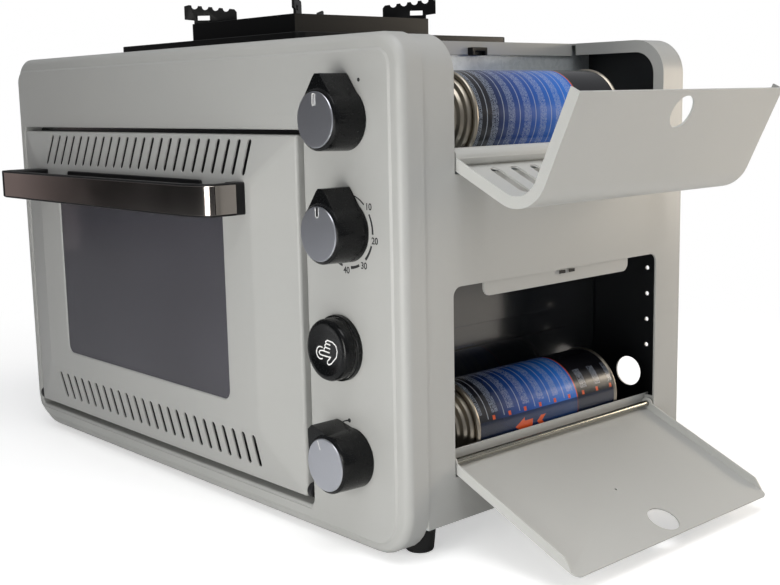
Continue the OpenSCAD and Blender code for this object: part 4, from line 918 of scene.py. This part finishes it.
def stroke(line, width, closed=False):
    """Short overlapping bars with round joints along a line in x and z."""
    marks = []
    pairs = list(zip(line, line[1:])) + ([(line[-1], line[0])] if closed else [])
    for (x0, z0), (x1, z1) in pairs:
        along = math.atan2(z1 - z0, x1 - x0)
        bar = []
        for cx, cz, first in ((x1, z1, along - math.pi / 2), (x0, z0, along + math.pi / 2)):
            bar += [(cx + width / 2 * math.cos(first + math.pi * k / 6),
                     cz + width / 2 * math.sin(first + math.pi * k / 6)) for k in range(7)]
        marks.append(bar)
    return marks


def dish_depth(x, z):
    """The depth of the button's dished face."""
    return -12.82 - 0.6 * math.hypot(x - button_x, z - button_z) / 13.5


# The stove's disc carries a small frame with a line in it, the timer's a cup round a dark notch,
# and the oven's one slanted line.
index_lines = {
    "stove": (([(-1.6, 315.6), (1.4, 315.6), (1.4, 308.4), (-1.6, 308.4)], 0.55, True),
              ([(-0.4, 315), (-0.4, 309)], 0.5, False)),
    "timer": (([(-1.7, 242.2), (-1.5, 236.8), (0, 235.6), (1.5, 236.8), (1.7, 242.2)], 0.5, False),),
    "oven": (([(-6.6, 84.2), (-4.2, 78.6)], 0.7, False),),
}
face_y = (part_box("timer_disc")[0].y - panel_face) * 1000
for name, drawn in index_lines.items():
    marks = []
    for line, width, closed in drawn:
        marks += stroke([(knob_x + x, z) for x, z in line], width, closed)
    printed(name + "_disc_index", marks, lambda x, z: face_y - 0.02, white_ink,
            name + "_control")
# The timer's notch is not cut: a flat film of the black ink lies on the disc in its place.
printed("timer_disc_notch", stroke([(knob_x, 241.8), (knob_x, 237.4)], 2.2),
        lambda x, z: face_y - 0.01, black_ink, "timer_control")


palm_line = [(2.2, -1.8), (-4.1, -1.2), (-6.2, -1.5), (-7.1, -2.6), (-6.2, -3.8), (-4.2, -4.1),
             (3.4, -4.3), (0.6, -6.9), (0.4, -8.4), (1.8, -9.0), (4.0, -8.0), (8.8, -3.6),
             (9.8, 0.2), (8.6, 3.2), (5.6, 5.0), (0.8, 5.5), (-0.9, 4.5), (-0.6, 3.4), (3.0, 3.0)]
second_finger = [(-0.4, 3.3), (-1.7, 2.4), (-1.5, 1.1), (2.8, 0.6)]
third_finger = [(-1.3, 1.1), (-2.6, 0.2), (-2.5, -1.2)]
ripple = [(-5.7 + 3.7 * math.cos(a), -2.7 + 3.7 * math.sin(a))
          for a in (math.radians(65 + 19 * k) for k in range(13))]
sign_x, sign_z, sign_scale, sign_line = button_x - 0.8, button_z + 0.4, 1.16, 0.9
sign = []
for line in (palm_line, second_finger, third_finger, ripple):
    sign += stroke([(sign_x + sign_scale * x, sign_z + sign_scale * z) for x, z in line], sign_line)
printed("button_press_sign", sign, dish_depth, white_ink, "button")


# Bay covers. The upper lid is bent to an L that closes the body's shoulder: its hinged leg has
# slots and a rolled hem on a pin, and its plain leg a finger hole. The lower one is a flat pan
# on a rod. Both are the body's paint in a lighter coat, and both stand open.
pale_paint = baked_enamel("pale baked enamel", "#c3c4c1", 0.40, "#c9c9c6")
dressed("upper_lid", "upper_lid_sheet", "lid", pale_paint, 0.4)
dressed("bay_door", "bay_door_pan", "side_door", pale_paint, 0.35)
dressed("lower_sill", "lower_sill_fold", "body", silver_paint, 0.4)
dressed("upper_catch", "upper_spring_catch", "body", grip_black, 0.5)
dressed("lower_catch", "lower_spring_catch", "body", grip_black, 0.5)
side_x = (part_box("outer_casing")[1].x - panel_left) * 1000
prong_size, prong_z, prongs_in = (0.3, 6.6, 2.4), 184.6, 0.11
prongs = bmesh.new()
for y in (157.4, 168.0):
    place = Matrix.Translation(at(side_x - prongs_in, y, prong_z))
    stretched = Matrix.Diagonal((*(size / 1000 for size in prong_size), 1))
    bmesh.ops.create_cube(prongs, size=1.0, matrix=place @ stretched)
catch_slot = new_piece("lower_catch_prongs", prongs)
catch_slot.data.materials.append(grip_black)
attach(catch_slot, "body")
bright_rod = mirror_plate("bright rod", "#97958c", 0.2, 0.02)
dressed("bay_door_rod", "bay_door_hinge_rod", "side_door", bright_rod, 0.4)


# Gas parts. Cast brass valves and a moulded timer behind the panel, with the red-brown igniter
# lead that shows in the lower bay: silicone-covered wire, looped back through the divider.
brass = moulded("cast brass", "#a3803f", 0.36, 1.0, 0.00006)
fed(brass.node_tree.nodes["Principled BSDF"], {"Metallic": 1.0})
for node in ("stove_valve", "oven_valve", "safety_valve"):
    dressed(node, node + "_brass", "body", brass, 0.6)
dressed("timer_unit", "timer_housing", "body", grip_black, 0.8)

lead_r = 1.4
lead_points = [(0, 43.3, 0), (0, 48, 0), (7, 60, 14), (12, 68, 36), (10, 74, 56), (2, 80, 72),
               (-8, 84, 80), (-20, 84, 81), (-34, 84, 81)]


def smooth_through(points, steps):
    """A smooth line through points, steps to each span."""
    line = []
    last = len(points) - 1
    for i in range(last):
        p0, p1, p2, p3 = (Vector(points[max(0, min(last, i + d))]) for d in (-1, 0, 1, 2))
        for k in range(steps):
            u = k / steps
            line.append(0.5 * (2 * p1 + (p2 - p0) * u + (2 * p0 - 5 * p1 + 4 * p2 - p3) * u * u
                               + (3 * p1 - p0 - 3 * p2 + p3) * u ** 3))
    return line + [Vector(points[-1])]


lead_line = [at(button_x + p.x, p.y, button_z + p.z) for p in smooth_through(lead_points, 4)]
lead_curve = bpy.data.curves.new("igniter_lead_wire", "CURVE")
lead_curve.dimensions = "3D"
lead_curve.bevel_depth = lead_r / 1000
lead_curve.bevel_resolution = 4
lead_curve.use_fill_caps = True
lead_spline = lead_curve.splines.new("POLY")
lead_spline.points.add(len(lead_line) - 1)
for point, place in zip(lead_spline.points, lead_line):
    point.co = (*place, 1)
lead = bpy.data.objects.new("igniter_lead_wire", lead_curve)
bpy.context.scene.collection.objects.link(lead)
lead_curve.materials.append(moulded("red-brown silicone", "#7a3017", 0.5, 0.6))
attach(lead, "body")
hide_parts("igniter_lead")


# Stove top. An enamelled drip tray lies loose on the casing, with a square pressed pan support
# in it and four wavy arms at its corners. The burner's cap is black cast iron.
tray_enamel = baked_enamel("black tray enamel", "#0a0a0b", 0.40, "#0e0f10", 2.2, 0.0, 0.22)
dressed("drip_tray", "drip_tray_pan", "tray", tray_enamel, 0.7, 38, 3)
dressed("pan_support", "pan_support_frame", "support", tray_enamel, 0.5, 38, 2)
cast_iron = moulded("black cast iron", "#121213", 0.62, 1.6, 0.00016)
dressed("burner_cap", "burner_cap_iron", "body", cast_iron, 0.5)


# Cartridges. Tinplate cans with rolled rims and a stepped dome that carries the valve. The print
# is a plain scheme of bands: navy to bright blue, pale rings, and an orange ring and marks.
tinplate = mirror_plate("tinplate", "#a39c90", 0.36, 0.05)
can_x, can_y, can_len, rim_r = 494.0, 80.0, 160.0, 33.6
can_heights = {"upper": 297.5, "lower": 75.5}
can_turns = {"upper": -62.0, "lower": 22.0}


def can_label(name, height, turn):
    """Lacquered print on tinplate, turned about the can: dark to bright blue bands, pale rings with
    columns of fine lettering too small to read, and orange marks. It is glossy, like all such print."""
    made, tree, shader, place = new_finish(name)

    def maths(operation, *values):
        return add(tree, "ShaderNodeMath", {"operation": operation}, dict(enumerate(values))).outputs[0]

    def between(value, low, high):
        return maths("MULTIPLY", maths("GREATER_THAN", value, low), maths("LESS_THAN", value, high))

    def painted_over(under, over, amount):
        mix = add(tree, "ShaderNodeMix", {"data_type": "RGBA"}, {0: amount, 6: under, 7: over})
        return mix.outputs[2]

    middle = at(can_x, can_y, height)
    parts = add(tree, "ShaderNodeSeparateXYZ", inputs={0: place}).outputs
    along = maths("MULTIPLY", maths("SUBTRACT", parts[1], middle.y), 1000.0)
    across = maths("SUBTRACT", parts[0], middle.x)
    up = maths("SUBTRACT", parts[2], middle.z)
    angle = maths("SUBTRACT", maths("MULTIPLY", maths("ARCTAN2", up, across), 180 / math.pi), turn)
    bands = add(tree, "ShaderNodeValToRGB", inputs={0: maths("DIVIDE", along, can_len)})
    stops = ((0.0, "#0c0d12"), (0.10, "#10131f"), (0.34, "#154596"), (0.64, "#2670d2"),
             (0.692, "#236bc8"), (0.693, "#c9552b"), (0.702, "#c9552b"), (0.703, "#101016"),
             (1.0, "#0d0d12"))
    ramp = bands.color_ramp
    while len(ramp.elements) < len(stops):
        ramp.elements.new(0.5)
    for element, (position, colour) in zip(ramp.elements, stops):
        element.position = position
        element.color = linear(colour)
    low_band = maths("MULTIPLY", maths("LESS_THAN", angle, -10.0), maths("GREATER_THAN", angle, -110.0))
    colour = painted_over(bands.outputs[0], linear("#0f1c36"), maths("MULTIPLY", low_band, 0.85))
    near_part = maths("LESS_THAN", along, 0.69 * can_len)
    ring_share = maths("FRACT", maths("DIVIDE", maths("ADD", along, 4.8), 16.8))
    printed_side = maths("MULTIPLY", maths("GREATER_THAN", angle, -7.0), near_part)
    rings = maths("MULTIPLY", maths("LESS_THAN", ring_share, 0.045), printed_side)
    colour = painted_over(colour, linear("#b7c0cc"), maths("MULTIPLY", rings, 0.6))
    line = maths("DIVIDE", along, 1.1)
    grain = add(tree, "ShaderNodeCombineXYZ",
                inputs={0: maths("MULTIPLY", angle, 0.9),
                        1: maths("MULTIPLY", maths("FLOOR", line), 7.3)})
    letters = add(tree, "ShaderNodeTexNoise",
                  inputs={"Vector": grain.outputs[0], "Scale": 1.6, "Detail": 1.0})
    inked = maths("MULTIPLY", maths("GREATER_THAN", letters.outputs["Fac"], 0.46),
                  maths("LESS_THAN", maths("FRACT", line), 0.55))
    reach_round = maths("ADD", 28.0, maths("MULTIPLY", near_part, 122.0))
    column = maths("MULTIPLY", between(ring_share, 0.30, 0.72), between(angle, 0.0, reach_round))
    lettering = maths("MULTIPLY", maths("MULTIPLY", inked, column), 0.6)
    colour = painted_over(colour, linear("#b4c0d2"), lettering)
    drops = maths("MULTIPLY", between(ring_share, 0.30, 0.46), between(angle, -9.0, -3.5))
    from_tip = maths("SUBTRACT", along, 40.0)
    spread = maths("ABSOLUTE", maths("ADD", angle, 27.0))
    head = maths("MULTIPLY", maths("LESS_THAN", spread, from_tip), maths("LESS_THAN", from_tip, 10.0))
    shank = maths("MULTIPLY", maths("LESS_THAN", spread, 5.5), between(from_tip, 9.0, 19.0))
    chevron_tip = maths("SUBTRACT", from_tip, maths("ADD", 24.0, maths("MULTIPLY", spread, 0.6)))
    chevron = maths("MULTIPLY", maths("LESS_THAN", spread, 7.0), between(chevron_tip, 0.0, 5.5))
    arrow = maths("MAXIMUM", maths("MAXIMUM", head, shank), chevron)
    colour = painted_over(colour, linear("#d4572a"), maths("MAXIMUM", drops, arrow))
    flow = add(tree, "ShaderNodeTexNoise", inputs={"Vector": place, "Scale": 60.0})
    rough = add(tree, "ShaderNodeMapRange", inputs={0: flow.outputs["Fac"], 3: 0.16, 4: 0.26})
    fed(shader, {"Base Color": colour, "Roughness": rough.outputs[0], "Coat Weight": 0.15,
                 "Coat Roughness": 0.08})
    return made


def rolled(mid_r, mid_y, radius, first, last, steps=8):
    """Pairs of radius and depth along a rolled seam's round edge."""
    return [(mid_r + radius * math.cos(math.radians(first + (last - first) * k / steps)),
             mid_y + radius * math.sin(math.radians(first + (last - first) * k / steps)))
            for k in range(steps + 1)]


for name, height in can_heights.items():
    body = name + "_cartridge"
    wall = [(rim_r - 1, can_y + 3.6), (rim_r - 0.9, can_y + 4), (rim_r - 0.9, can_y + can_len - 4),
            (rim_r - 1, can_y + can_len - 3.6)]
    label = turned(name + "_can_print", wall, can_x, height, 96)
    label.data.materials.append(can_label(name + " can print", height, can_turns[name]))
    shade(label, 40)
    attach(label, body)
    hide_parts(name + "_can")
    dome = [(0.4, 3), (12, 3), (13.4, 1.6), (14, 1), (17, 1), (17.4, -2), (18, -8.4), (18.6, -9.2),
            (20.4, -9.6), (21.4, -9.2), (21.9, -7.6), (22.6, -6.8), (24.6, -6.6), (25.5, -6.0),
            (26, -4.4), (26.6, -3.7), (28.6, -3.5), (29.4, -2.6), (29.9, -0.6)]
    rim = [(29.9, 1.4)] + rolled(rim_r - 1.8, 1.8, 1.8, 200, 400, 12) + [(rim_r - 1.6, 4.6), (0.4, 4.6)]
    front_end = turned(name + "_can_dome", [(r, can_y + y) for r, y in dome + rim], can_x, height)
    base_rim = [(0.4, can_len - 4.6), (rim_r - 1.6, can_len - 4.6)]
    base_rim += rolled(rim_r - 1.8, can_len - 1.8, 1.8, -40, 160, 12)
    base_rim += [(29.4, can_len - 4.4), (26, can_len - 5.2), (18, can_len - 6.2), (0.4, can_len - 8.6)]
    back_end = turned(name + "_can_base", [(r, can_y + y) for r, y in base_rim], can_x, height)
    for end in (front_end, back_end):
        end.data.materials.append(tinplate)
        shade(end, 50)
        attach(end, body)
        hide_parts(name + "_can")
    dressed(name + "_can_valve", name + "_can_valve_cup", body, tinplate, 0.3)
